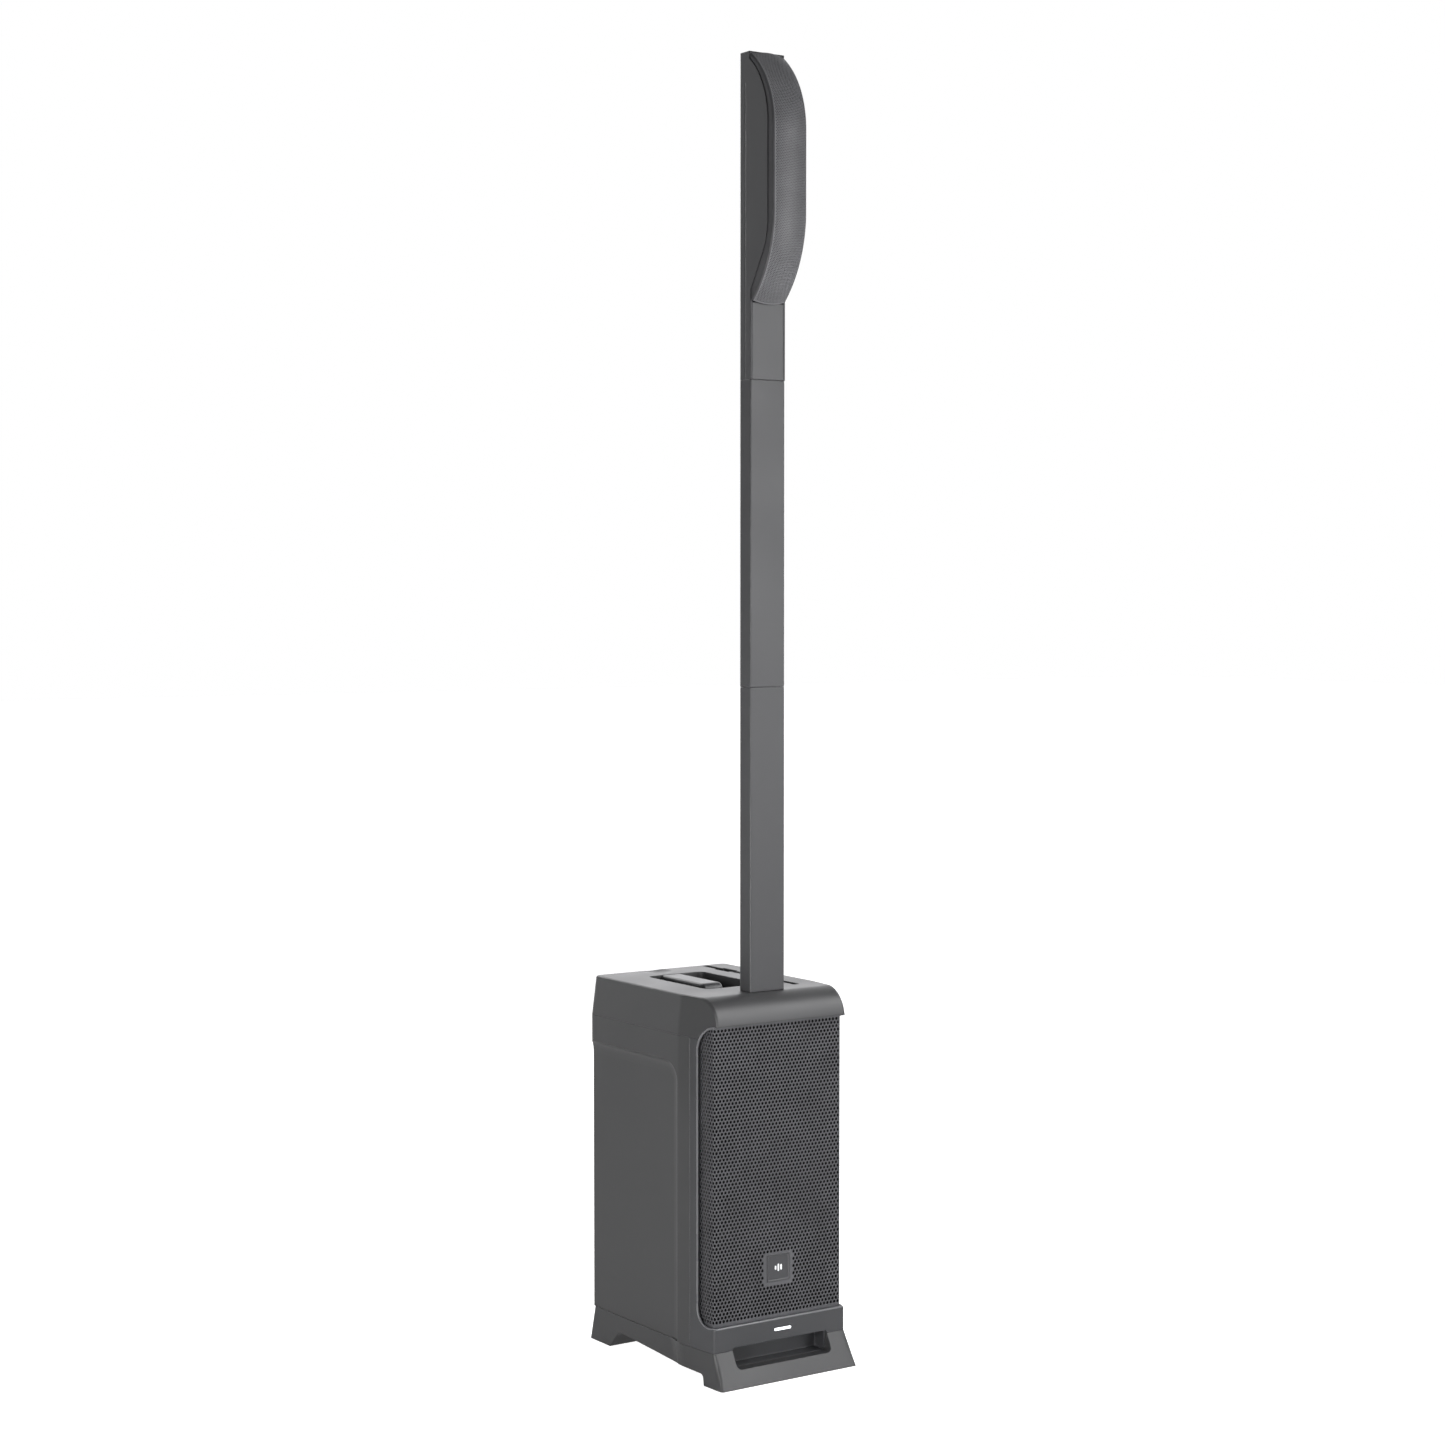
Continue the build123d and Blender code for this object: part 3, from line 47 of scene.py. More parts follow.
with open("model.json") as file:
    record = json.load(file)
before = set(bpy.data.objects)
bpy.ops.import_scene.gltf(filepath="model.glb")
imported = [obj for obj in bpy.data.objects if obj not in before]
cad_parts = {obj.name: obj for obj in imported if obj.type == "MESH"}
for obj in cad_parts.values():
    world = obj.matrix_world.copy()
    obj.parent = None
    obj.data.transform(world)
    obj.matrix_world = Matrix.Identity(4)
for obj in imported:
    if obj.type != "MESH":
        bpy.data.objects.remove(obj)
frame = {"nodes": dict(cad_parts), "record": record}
cad_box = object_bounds()
NODES = frame["nodes"]


# ---- camera and light ---------------------------------------------------------------
def look_back(azimuth, elevation):
    """Unit vector from what is looked at back to the eye; azimuth 0 looks along +Y."""
    a, e = math.radians(azimuth), math.radians(elevation)
    return Vector((math.sin(a) * math.cos(e), -math.cos(a) * math.cos(e), math.sin(e)))


def make_camera():
    camera = bpy.data.objects.new("camera", bpy.data.cameras.new("camera"))
    bpy.context.scene.collection.objects.link(camera)
    camera.data.sensor_width = 36.0
    camera.data.lens = 66.31
    camera.data.clip_end = 100.0
    camera.location = (-2.5732, -3.7530, 1.2950)
    camera.rotation_mode = "QUATERNION"
    camera.rotation_quaternion = (-look_back(CAMERA_AZIMUTH, CAMERA_ELEVATION)).to_track_quat("-Z", "Y")
    bpy.context.scene.camera = camera


def area_light(name, azimuth, elevation, distance, size, power, target, colour=(1, 1, 1),
               spread=180):
    """Rectangular softbox that faces the target; size is (width, height), spread in degrees."""
    lamp = bpy.data.lights.new(name, "AREA")
    lamp.shape = "RECTANGLE"
    lamp.size, lamp.size_y = size
    lamp.energy = power
    lamp.color = colour
    lamp.spread = math.radians(spread)
    holder = bpy.data.objects.new(name, lamp)
    bpy.context.scene.collection.objects.link(holder)
    back = look_back(azimuth, elevation)
    holder.location = Vector(target) + back * distance
    holder.rotation_mode = "QUATERNION"
    holder.rotation_quaternion = (-back).to_track_quat("-Z", "Y")


def map_range(nodes, low, high, to_low, to_high):
    """Node that maps low..high to to_low..to_high, clamped."""
    node = nodes.new("ShaderNodeMapRange")
    for name, number in zip(("From Min", "From Max", "To Min", "To Max"), (low, high, to_low, to_high)):
        node.inputs[name].default_value = number
    return node


def make_world(dim, bright):
    """White surroundings: plain white to the eye; as light, dim in front and bright behind."""
    world = bpy.data.worlds.new("studio")
    bpy.context.scene.world = world
    world.use_nodes = True
    nodes, links = world.node_tree.nodes, world.node_tree.links
    nodes.clear()
    place = nodes.new("ShaderNodeTexCoord")
    facing = nodes.new("ShaderNodeVectorMath")
    facing.operation = "DOT_PRODUCT"
    facing.inputs[1].default_value = -look_back(CAMERA_AZIMUTH, 0)
    links.new(place.outputs["Generated"], facing.inputs[0])
    level = map_range(nodes, 0.25, 0.95, dim, bright)
    level.interpolation_type = "SMOOTHSTEP"
    links.new(facing.outputs["Value"], level.inputs["Value"])
    parts = nodes.new("ShaderNodeSeparateXYZ")
    links.new(place.outputs["Generated"], parts.inputs["Vector"])
    overhead = map_range(nodes, 0.10, 0.75, 1.0, 0.12)
    overhead.interpolation_type = "SMOOTHSTEP"
    links.new(parts.outputs["Z"], overhead.inputs["Value"])
    strength = nodes.new("ShaderNodeMath")
    strength.operation = "MULTIPLY"
    links.new(level.outputs["Result"], strength.inputs[0])
    links.new(overhead.outputs["Result"], strength.inputs[1])
    light, seen = nodes.new("ShaderNodeBackground"), nodes.new("ShaderNodeBackground")
    light.inputs["Color"].default_value = (0.98, 0.98, 1.0, 1)
    links.new(strength.outputs["Value"], light.inputs["Strength"])
    seen.inputs["Color"].default_value = (1, 1, 1, 1)
    paths = nodes.new("ShaderNodeLightPath")
    mix, out = nodes.new("ShaderNodeMixShader"), nodes.new("ShaderNodeOutputWorld")
    links.new(paths.outputs["Is Camera Ray"], mix.inputs["Fac"])
    links.new(light.outputs["Background"], mix.inputs[1])
    links.new(seen.outputs["Background"], mix.inputs[2])
    links.new(mix.outputs["Shader"], out.inputs["Surface"])


def make_floor():
    """Large pale floor with its top at z = 0."""
    half = 30.0
    data = bpy.data.meshes.new("floor")
    corners = [(-half, -half, 0), (half, -half, 0), (half, half, 0), (-half, half, 0)]
    data.from_pydata(corners, [], [(0, 1, 2, 3)])
    floor = bpy.data.objects.new("floor", data)
    bpy.context.scene.collection.objects.link(floor)
    pale = bpy.data.materials.new("pale_floor")
    pale.use_nodes = True
    shader = pale.node_tree.nodes["Principled BSDF"]
    shader.inputs["Base Color"].default_value = (0.62, 0.62, 0.62, 1)
    shader.inputs["Roughness"].default_value = 0.9
    shader.inputs["Specular IOR Level"].default_value = 0.1
    shader.inputs["Emission Color"].default_value = (1, 1, 1, 1)
    nodes, links = pale.node_tree.nodes, pale.node_tree.links
    paths, glow = nodes.new("ShaderNodeLightPath"), map_range(nodes, 0, 1, 0.25, 0.95)
    links.new(paths.outputs["Is Camera Ray"], glow.inputs["Value"])
    links.new(glow.outputs["Result"], shader.inputs["Emission Strength"])
    data.materials.append(pale)


make_camera()
make_world(dim=0.13, bright=3.1)
make_floor()
bpy.context.scene.view_settings.view_transform = "Standard"
MIDDLE, CABINET = (0, -0.1, 1.15), (0, 0, 0.35)
area_light("key", 26, 6, 3.6, (1.3, 2.2), 70, MIDDLE, (0.98, 0.985, 1.0))
area_light("front_top", 44, 42, 2.6, (1.8, 1.2), 9, CABINET, (0.99, 0.99, 1.0), 70)
area_light("lip", -56, 8, 3.0, (0.30, 1.6), 20, CABINET, (1, 1, 1), 90)
area_light("side_fill", -80, 2, 2.6, (1.2, 0.9), 2, CABINET, (1, 1, 1), 100)
area_light("top", 10, 80, 3.6, (2.6, 2.6), 8, (0, 0, 0.6))
area_light("rear", 178, 32, 3.8, (1.6, 2.0), 50, MIDDLE)
area_light("rear_low", 186, 4, 3.8, (1.2, 0.9), 16, CABINET)
area_light("rear_right", 118, 12, 3.8, (1.4, 2.4), 30, MIDDLE)


# ---- materials ----------------------------------------------------------------------
class Surface:
    """A procedural material in the making: a Principled shader with its texture nodes."""

    def __init__(self, name, roughness=0.5, metallic=0.0, specular=0.5):
        self.material = bpy.data.materials.new(name)
        self.material.use_nodes = True
        self.nodes = self.material.node_tree.nodes
        self.links = self.material.node_tree.links
        self.shader = self.nodes["Principled BSDF"]
        self.shader.inputs["Roughness"].default_value = roughness
        self.shader.inputs["Metallic"].default_value = metallic
        self.shader.inputs["Specular IOR Level"].default_value = specular
        self.place = self.nodes.new("ShaderNodeTexCoord").outputs["Object"]
        self.normal = None

    def link(self, source, target):
        self.links.new(source, target)

    def stretched(self, scale):
        """Object coordinates scaled by axis, for brushed, sawn or streaked looks."""
        mapping = self.nodes.new("ShaderNodeMapping")
        mapping.inputs["Scale"].default_value = scale
        self.link(self.place, mapping.inputs["Vector"])
        return mapping.outputs["Vector"]

    def noise(self, size, detail=2.0, roughness=0.5, place=None):
        """Noise with features of about `size` metres, from 0 to 1."""
        node = self.nodes.new("ShaderNodeTexNoise")
        node.inputs["Scale"].default_value = 1.0 / size
        node.inputs["Detail"].default_value = detail
        node.inputs["Roughness"].default_value = roughness
        self.link(place or self.place, node.inputs["Vector"])
        return node.outputs["Fac"]

    def cells(self, size):
        """Voronoi distance with cells of about `size` metres."""
        node = self.nodes.new("ShaderNodeTexVoronoi")
        node.inputs["Scale"].default_value = 1.0 / size
        self.link(self.place, node.inputs["Vector"])
        return node.outputs["Distance"]

    def fit(self, value, low, high, to_low, to_high):
        """Value mapped from low..high to to_low..to_high, clamped."""
        node = map_range(self.nodes, low, high, to_low, to_high)
        self.link(value, node.inputs["Value"])
        return node.outputs["Result"]

    def math(self, operation, a, b):
        node = self.nodes.new("ShaderNodeMath")
        node.operation = operation
        for socket, value in zip(node.inputs, (a, b)):
            if isinstance(value, (int, float)):
                socket.default_value = value
            else:
                self.link(value, socket)
        return node.outputs["Value"]

    def blend(self, factor, first, second):
        """Colour between first and second; each is a colour or another blend's output."""
        node = self.nodes.new("ShaderNodeMix")
        node.data_type = "RGBA"
        self.link(factor, node.inputs["Factor"])
        for socket, colour in zip((node.inputs["A"], node.inputs["B"]), (first, second)):
            colours = [s for s in node.inputs if s.name == socket.name and s.type == "RGBA"]
            if isinstance(colour, tuple):
                colours[0].default_value = (*colour, 1)
            else:
                self.link(colour, colours[0])
        return [s for s in node.outputs if s.type == "RGBA"][0]

    def edges(self, radius):
        """Mask of convex and concave edges: where a rounded normal leaves the true one."""
        bevel = self.nodes.new("ShaderNodeBevel")
        bevel.samples = 4
        bevel.inputs["Radius"].default_value = radius
        true_normal = self.nodes.new("ShaderNodeNewGeometry").outputs["Normal"]
        dot = self.nodes.new("ShaderNodeVectorMath")
        dot.operation = "DOT_PRODUCT"
        self.link(bevel.outputs["Normal"], dot.inputs[0])
        self.link(true_normal, dot.inputs[1])
        return self.fit(dot.outputs["Value"], 0.995, 0.80, 0.0, 1.0)

    def round_edges(self, radius):
        """Softens the look of sharp edges, so that they catch light."""
        bevel = self.nodes.new("ShaderNodeBevel")
        bevel.samples = 6
        bevel.inputs["Radius"].default_value = radius
        self.normal = bevel.outputs["Normal"]
        self.link(self.normal, self.shader.inputs["Normal"])

    def bump(self, height, depth, strength=1.0):
        """Raises the surface by height times depth metres, over what was raised before."""
        node = self.nodes.new("ShaderNodeBump")
        node.inputs["Distance"].default_value = depth
        node.inputs["Strength"].default_value = strength
        self.link(height, node.inputs["Height"])
        if self.normal is not None:
            self.link(self.normal, node.inputs["Normal"])
        self.normal = node.outputs["Normal"]
        self.link(self.normal, self.shader.inputs["Normal"])

    def colour(self, source):
        if isinstance(source, tuple):
            self.shader.inputs["Base Color"].default_value = (*source, 1)
        else:
            self.link(source, self.shader.inputs["Base Color"])

    def rough(self, source):
        self.link(source, self.shader.inputs["Roughness"])


def shade(colour, factor):
    return tuple(min(1.0, c * factor) for c in colour)


def moulded(name, colour, roughness, depth=0.02 * MM, edge=2.2 * MM, edge_highlight=0.5, highlight_radius=0.8 * MM):
    """Moulded plastic: fine spark-eroded grain, slow mottling, faint rubs, and edges lightened as a painted
    highlight.
    """
    s = Surface(name)
    mottle = s.noise(0.11, 3)
    rubs = s.fit(s.noise(0.02, 5, 0.7), 0.60, 0.78, 0.0, 0.35)
    tone = s.blend(s.fit(mottle, 0.35, 0.65, 0, 1), shade(colour, 0.93), shade(colour, 1.08))
    tone = s.blend(s.math("MULTIPLY", rubs, 0.5), tone, shade(colour, 1.35))
    # painted highlight: the colour is lightened along convex and concave edges, where light would catch
    # them
    if edge_highlight:
        tone = s.blend(s.math("MULTIPLY", s.edges(highlight_radius), edge_highlight), tone, shade(colour, 2.6))
    s.colour(tone)
    s.rough(s.math("SUBTRACT", s.fit(mottle, 0.3, 0.7, roughness - 0.03, roughness + 0.04),
                   s.math("MULTIPLY", rubs, 0.12)))
    if edge:
        s.round_edges(edge)
    s.bump(s.noise(0.45 * MM, 2, 0.6), depth, 0.5)
    return s.material


def coated_steel(name, colour, roughness):
    """Powder coat: orange peel over a few coarser lumps."""
    s = Surface(name)
    s.colour(s.blend(s.fit(s.noise(0.06, 3), 0.35, 0.65, 0, 1), shade(colour, 0.9), shade(colour, 1.12)))
    s.rough(s.fit(s.noise(0.004, 2), 0.3, 0.7, roughness - 0.05, roughness + 0.05))
    s.bump(s.noise(0.7 * MM, 2), 0.02 * MM, 0.4)
    return s.material


def rubbery(name, colour):
    s = Surface(name, specular=0.35)
    dust = s.fit(s.noise(0.008, 5, 0.7), 0.55, 0.8, 0, 0.4)
    s.colour(s.blend(dust, colour, shade(colour, 2.2)))
    s.rough(s.fit(dust, 0, 0.4, 0.75, 0.87))
    s.round_edges(0.8 * MM)
    s.bump(s.cells(0.8 * MM), 0.03 * MM, 0.5)
    return s.material


def foam(name, colour):
    """Open cell foam: small pits with a soft edge."""
    s = Surface(name, roughness=0.95, specular=0.1)
    pits = s.cells(1.6 * MM)
    s.colour(s.blend(s.fit(pits, 0.1, 0.6, 0, 1), shade(colour, 0.35), shade(colour, 1.3)))
    s.bump(pits, 0.5 * MM, 0.8)
    return s.material


def cloth(name, colour):
    """Acoustic cloth: a plain weave of two crossed thread waves."""
    s = Surface(name, roughness=0.9, specular=0.15)
    waves = []
    for direction in ("X", "Z"):
        node = s.nodes.new("ShaderNodeTexWave")
        node.bands_direction = direction
        node.inputs["Scale"].default_value = 1 / (4.0 * MM)
        s.link(s.place, node.inputs["Vector"])
        waves.append(node.outputs["Fac"])
    weave = s.math("MULTIPLY", waves[0], waves[1])
    s.colour(s.blend(weave, shade(colour, 0.6), shade(colour, 1.3)))
    s.bump(weave, 0.2 * MM, 0.5)
    return s.material


def metal(name, colour, roughness=0.32, metallic=1.0):
    """Metal with fine drawn streaks and darker tarnish."""
    s = Surface(name, metallic=metallic)
    streaks = s.noise(0.02, 4, 0.6, s.stretched((40, 40, 1)))
    tarnish = s.fit(s.noise(0.012, 4), 0.45, 0.75, 0, 0.35)
    s.colour(s.blend(tarnish, colour, shade(colour, 0.55)))
    s.rough(s.fit(streaks, 0.3, 0.7, roughness - 0.08, roughness + 0.12))
    s.round_edges(0.25 * MM)
    s.bump(streaks, 0.01 * MM, 0.3)
    return s.material


def cast(name, colour, roughness=0.55, metallic=0.6):
    s = Surface(name, metallic=metallic)
    lumps = s.noise(2.0 * MM, 4, 0.6)
    s.colour(s.blend(s.fit(lumps, 0.3, 0.7, 0, 1), shade(colour, 0.8), shade(colour, 1.15)))
    s.rough(s.fit(lumps, 0.3, 0.7, roughness - 0.06, roughness + 0.1))
    s.round_edges(0.5 * MM)
    s.bump(lumps, 0.08 * MM, 0.5)
    return s.material


def fibres(name, colour):
    """Pressed fibres, for paper cones and fibreboard."""
    s = Surface(name, specular=0.25)
    hairs = s.noise(1.5 * MM, 6, 0.75)
    s.colour(s.blend(s.fit(hairs, 0.35, 0.65, 0, 1), shade(colour, 0.75), shade(colour, 1.3)))
    s.rough(s.fit(hairs, 0.3, 0.7, 0.79, 0.91))
    s.bump(hairs, 0.06 * MM, 0.6)
    return s.material


def circuit_board(name):
    """Green solder mask with paler copper runs under it."""
    s = Surface(name, roughness=0.35)
    brick = s.nodes.new("ShaderNodeTexBrick")
    brick.inputs["Scale"].default_value = 60
    brick.inputs["Mortar Size"].default_value = 0.035
    brick.inputs["Color1"].default_value = (0.012, 0.10, 0.045, 1)
    brick.inputs["Color2"].default_value = (0.010, 0.085, 0.040, 1)
    brick.inputs["Mortar"].default_value = (0.05, 0.22, 0.09, 1)
    upright = s.nodes.new("ShaderNodeMapping")
    upright.inputs["Rotation"].default_value = (math.radians(90), 0, 0)
    s.link(s.place, upright.inputs["Vector"])
    s.link(upright.outputs["Vector"], brick.inputs["Vector"])
    s.colour(brick.outputs["Color"])
    s.bump(brick.outputs["Fac"], 0.03 * MM, 0.5)
    s.rough(s.fit(s.noise(0.01, 2), 0.3, 0.7, 0.28, 0.42))
    return s.material


def glass_window(name, colour):
    """Dark window: smooth, with faint finger marks."""
    s = Surface(name, specular=0.6)
    marks = s.fit(s.noise(0.012, 4, 0.6), 0.5, 0.75, 0.0, 1.0)
    s.rough(s.fit(marks, 0, 1, 0.07, 0.16))
    s.colour(s.blend(marks, colour, shade(colour, 1.4)))
    s.round_edges(0.4 * MM)
    return s.material


def lit(name, colour, strength):
    """Lit diffuser or screen mark, a little uneven."""
    s = Surface(name, roughness=0.4)
    s.colour(colour)
    uneven = s.fit(s.noise(0.01, 2), 0.3, 0.7, 0.88, 1.0)
    s.link(s.blend(uneven, shade(colour, 0.8), colour), s.shader.inputs["Emission Color"])
    s.shader.inputs["Emission Strength"].default_value = strength
    return s.material


def ink(name, colour):
    """Screen print: flat paint with a slightly broken edge tone."""
    s = Surface(name, specular=0.3)
    grain = s.noise(0.5 * MM, 3)
    s.colour(s.blend(s.fit(grain, 0.35, 0.65, 0, 1), shade(colour, 0.86), colour))
    s.rough(s.fit(grain, 0.3, 0.7, 0.5, 0.62))
    return s.material


CHARCOAL = (0.031, 0.031, 0.032)
FINISH = {
    # the edge_highlight and highlight_radius settings paint a paler tone along edges, a painted highlight
    "cabinet_plastic": moulded("cabinet_plastic", CHARCOAL, 0.46, edge_highlight=0.6, highlight_radius=1.2 * MM),
    "bezel_plastic": moulded("bezel_plastic", (0.030, 0.0305, 0.033), 0.40, edge_highlight=1.0, highlight_radius=1.8 * MM),
    # bead round the grille opening: the bezel plastic made much paler, a painted highlight
    "lip_painted_highlight": moulded("lip_painted_highlight", (0.105, 0.106, 0.112), 0.28, edge=0, edge_highlight=0),
    "column_shell": moulded("column_shell", (0.032, 0.032, 0.034), 0.43, depth=0.012 * MM),
    "neck_satin": moulded("neck_satin", (0.036, 0.036, 0.038), 0.40, depth=0.006 * MM),
    "grille_steel": coated_steel("grille_steel", (0.064, 0.064, 0.069), 0.42),
    "mesh_steel": coated_steel("mesh_steel", (0.165, 0.165, 0.172), 0.42),
    # the mesh steel made darker for the side returns of the same sheet: painted shade
    "mesh_painted_shade": coated_steel("mesh_painted_shade", (0.050, 0.050, 0.053), 0.5),
    "foam": foam("foam", (0.003, 0.003, 0.0035)),
    "rubber": rubbery("rubber", (0.022, 0.022, 0.022)),
    "badge_plastic": moulded("badge_plastic", (0.032, 0.032, 0.035), 0.38, edge=0.3 * MM),
    "light_lens": lit("light_lens", (0.95, 0.97, 1.0), 1.6),
    "baffle": fibres("baffle", (0.030, 0.028, 0.026)),
    "cast_frame": cast("cast_frame", (0.16, 0.16, 0.165)),
    "magnet": cast("magnet", (0.05, 0.05, 0.052), 0.5, 0.3),
    "cone_paper": fibres("cone_paper", (0.018, 0.018, 0.019)),
    "knob": moulded("knob", (0.032, 0.032, 0.034), 0.52, edge=0.35 * MM),
    "button": moulded("button", (0.045, 0.045, 0.048), 0.5, edge=0.3 * MM),
    "panel": coated_steel("panel", (0.016, 0.016, 0.017), 0.48),
    "screen": glass_window("screen", (0.008, 0.010, 0.013)),
    "socket": moulded("socket", (0.014, 0.014, 0.015), 0.36, edge=0.3 * MM, edge_highlight=0.3),
    "steel": metal("steel", (0.56, 0.56, 0.57)),
    "black_steel": metal("black_steel", (0.045, 0.045, 0.047), 0.4, metallic=0.7),
    "brass": metal("brass", (0.78, 0.60, 0.28)),
    "board": circuit_board("board"),
    "heatsink": metal("heatsink", (0.45, 0.46, 0.47), 0.38),
    "battery": moulded("battery", (0.030, 0.030, 0.032), 0.5),
    "cloth": cloth("cloth", (0.012, 0.012, 0.013)),
    "print": ink("print", (0.62, 0.63, 0.64)),
    "mark": ink("mark", (0.82, 0.83, 0.84)),
    "screen_glow": lit("screen_glow", (0.55, 0.80, 1.0), 1.2),
    "level_glow": lit("level_glow", (0.25, 0.85, 0.35), 1.1),
}

for row in frame["record"]["subparts"]:
    for material_slot in NODES[row["node"]].material_slots:
        material_slot.material = FINISH[row["material_slot"]]


# ---- helpers for meshes -------------------------------------------------------------
def piece(name, mesh, finish, body, angle=35.0, replaces=()):
    """Mesh piece in the row frame, riding on a body, with edges sharper than angle kept crisp."""
    vertices, faces = mesh
    data = bpy.data.meshes.new(name)
    data.from_pydata([tuple(v) for v in vertices], [], faces)
    data.validate()
    data.materials.append(FINISH[finish])
    data.shade_smooth()
    data.set_sharp_from_angle(angle=math.radians(angle))
    made = bpy.data.objects.new(name, data)
    bpy.context.scene.collection.objects.link(made)
    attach(made, body)
    if replaces:
        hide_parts(*replaces)
    return made


def perforated(columns, rows, half_pitch, row_height, hole_r, sides_per_edge, holds, surface):
    """Vertices and faces of a sheet with staggered round holes.

    The sheet is a brick pattern of cells, each two half pitches wide, in sheet coordinates
    (u, v). surface(u, v, back) gives the point on its front or back, and holds(u, v) says
    whether the cell centred there has a hole.
    """
    vertices, faces, corner = [], [], {}

    def at(i, j, back):
        key = (i, j, back)
        if key not in corner:
            corner[key] = len(vertices)
            vertices.append(surface(i * half_pitch, j * row_height, back))
        return corner[key]

    def plain(i, j, wide):
        for back in (False, True):
            ring = [at(i + k, j, back) for k in range(wide + 1)]
            ring += [at(i + wide - k, j + 1, back) for k in range(wide + 1)]
            faces.append(ring[::-1] if back else ring)

    steps = 6 * sides_per_edge
    for j in range(rows):
        first = j % 2
        if first:
            plain(0, j, 1)
            plain(2 * columns - 1, j, 1)
        for c in range(columns - first):
            i = 2 * c + first
            u, v = (i + 1) * half_pitch, (j + 0.5) * row_height
            if not holds(u, v):
                plain(i, j, 2)
                continue
            rims = []
            for back in (False, True):
                edge = [at(i, j, back), at(i + 1, j, back), at(i + 2, j, back),
                        at(i + 2, j + 1, back), at(i + 1, j + 1, back), at(i, j + 1, back)]
                rim = []
                for k in range(steps):
                    turn = math.radians(-150) + 2 * math.pi * k / steps
                    rim.append(len(vertices))
                    vertices.append(surface(u + hole_r * math.cos(turn), v + hole_r * math.sin(turn), back))
                for k in range(6):
                    arc = [rim[(sides_per_edge * (k + 1) - m) % steps] for m in range(sides_per_edge + 1)]
                    face = [edge[k], edge[(k + 1) % 6], *arc]
                    faces.append(face[::-1] if back else face)
                rims.append(rim)
            for k in range(steps):
                n = (k + 1) % steps
                faces.append([rims[0][k], rims[0][n], rims[1][n], rims[1][k]])
    width = 2 * columns
    for j in range(rows):
        faces.append([at(0, j, False), at(0, j + 1, False), at(0, j + 1, True), at(0, j, True)])
        faces.append([at(width, j, False), at(width, j, True),
                      at(width, j + 1, True), at(width, j + 1, False)])
    for i in range(width):
        faces.append([at(i, 0, False), at(i, 0, True), at(i + 1, 0, True), at(i + 1, 0, False)])
        faces.append([at(i, rows, False), at(i + 1, rows, False), at(i + 1, rows, True), at(i, rows, True)])
    return vertices, faces


def rounded(x, z, width, height, radius, steps=6):
    """Outline of a rounded rectangle, anticlockwise seen from the front."""
    corners = []
    for turn, sx, sz in ((0, 1, 1), (90, -1, 1), (180, -1, -1), (270, 1, -1)):
        for k in range(steps + 1):
            angle = math.radians(turn + 90 * k / steps)
            corners.append((x + sx * (width / 2 - radius) + radius * math.cos(angle),
                            z + sz * (height / 2 - radius) + radius * math.sin(angle)))
    return corners


def disc(x, z, radius, steps=24):
    """Outline of a disc, anticlockwise seen from the front."""
    turns = [2 * math.pi * k / steps for k in range(steps)]
    return [(x + radius * math.cos(t), z + radius * math.sin(t)) for t in turns]


def bar(x, z, angle, near, far, width):
    """Outline of a spoke from radius near to far about (x, z); angle 0 is up, clockwise from the front."""
    turn = math.radians(90 - angle)
    ax, az = math.cos(turn), math.sin(turn)
    wx, wz = -az * width / 2, ax * width / 2
    return [(x + near * ax + wx, z + near * az + wz), (x + near * ax - wx, z + near * az - wz),
            (x + far * ax - wx, z + far * az - wz), (x + far * ax + wx, z + far * az + wz)]


def prisms(outlines, y_low, y_high):
    """One closed prism along Y for each outline, together."""
    vertices, faces = [], []
    for outline in outlines:
        count, first = len(outline), len(vertices)
        pairs = zip(outline, outline[1:] + outline[:1])
        if sum(ax * bz - bx * az for (ax, az), (bx, bz) in pairs) < 0:
            outline = outline[::-1]
        vertices += [(px, y_low, pz) for px, pz in outline]
        vertices += [(px, y_high, pz) for px, pz in outline]
        faces.append([first + k for k in range(count)])
        faces.append([first + 2 * count - 1 - k for k in range(count)])
        for k in range(count):
            n = (k + 1) % count
            faces.append([first + k, first + count + k, first + count + n, first + n])
    return vertices, faces


def frames(rims, y_low, y_high):
    """Closed ring prisms along Y; each rim is (outer outline, inner outline) of equal length."""
    vertices, faces = [], []
    for outer, inner in rims:
        count, first = len(outer), len(vertices)
        for outline in (outer, inner):
            vertices += [(px, y_low, pz) for px, pz in outline]
            vertices += [(px, y_high, pz) for px, pz in outline]
        for k in range(count):
            n = (k + 1) % count
            out_low, out_high, in_low, in_high = (
                (first + ring * count + k, first + ring * count + n) for ring in range(4))
            faces.append([out_low[0], out_high[0], out_high[1], out_low[1]])
            faces.append([in_low[1], in_high[1], in_high[0], in_low[0]])
            faces.append([out_low[1], in_low[1], in_low[0], out_low[0]])
            faces.append([out_high[0], in_high[0], in_high[1], out_high[1]])
    return vertices, faces


def turned(x, z, profile, segments, flutes, flute_depth):
    """Solid of revolution about Y from (radius, y, fluted) points; both ends lie on the axis."""
    vertices, faces = [(x, profile[0][1], z)], []
    for radius, y, fluted in profile[1:-1]:
        for k in range(segments):
            turn = 2 * math.pi * k / segments
            dip = flute_depth * max(0.0, math.cos(flutes * turn)) ** 2 if fluted else 0.0
            vertices.append((x + (radius - dip) * math.cos(turn), y, z + (radius - dip) * math.sin(turn)))
    vertices.append((x, profile[-1][1], z))
    rings, last = len(profile) - 2, len(vertices) - 1
    for k in range(segments):
        n = (k + 1) % segments
        faces.append([0, 1 + k, 1 + n])
        for ring in range(rings - 1):
            a, b = 1 + ring * segments, 1 + (ring + 1) * segments
            faces.append([a + k, b + k, b + n, a + n])
        top = 1 + (rings - 1) * segments
        faces.append([last, top + n, top + k])
    return vertices, faces


def middle(node):
    """Middle, low corner and high corner of a node's box."""
    low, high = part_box(node)
    return (low + high) / 2, low, high


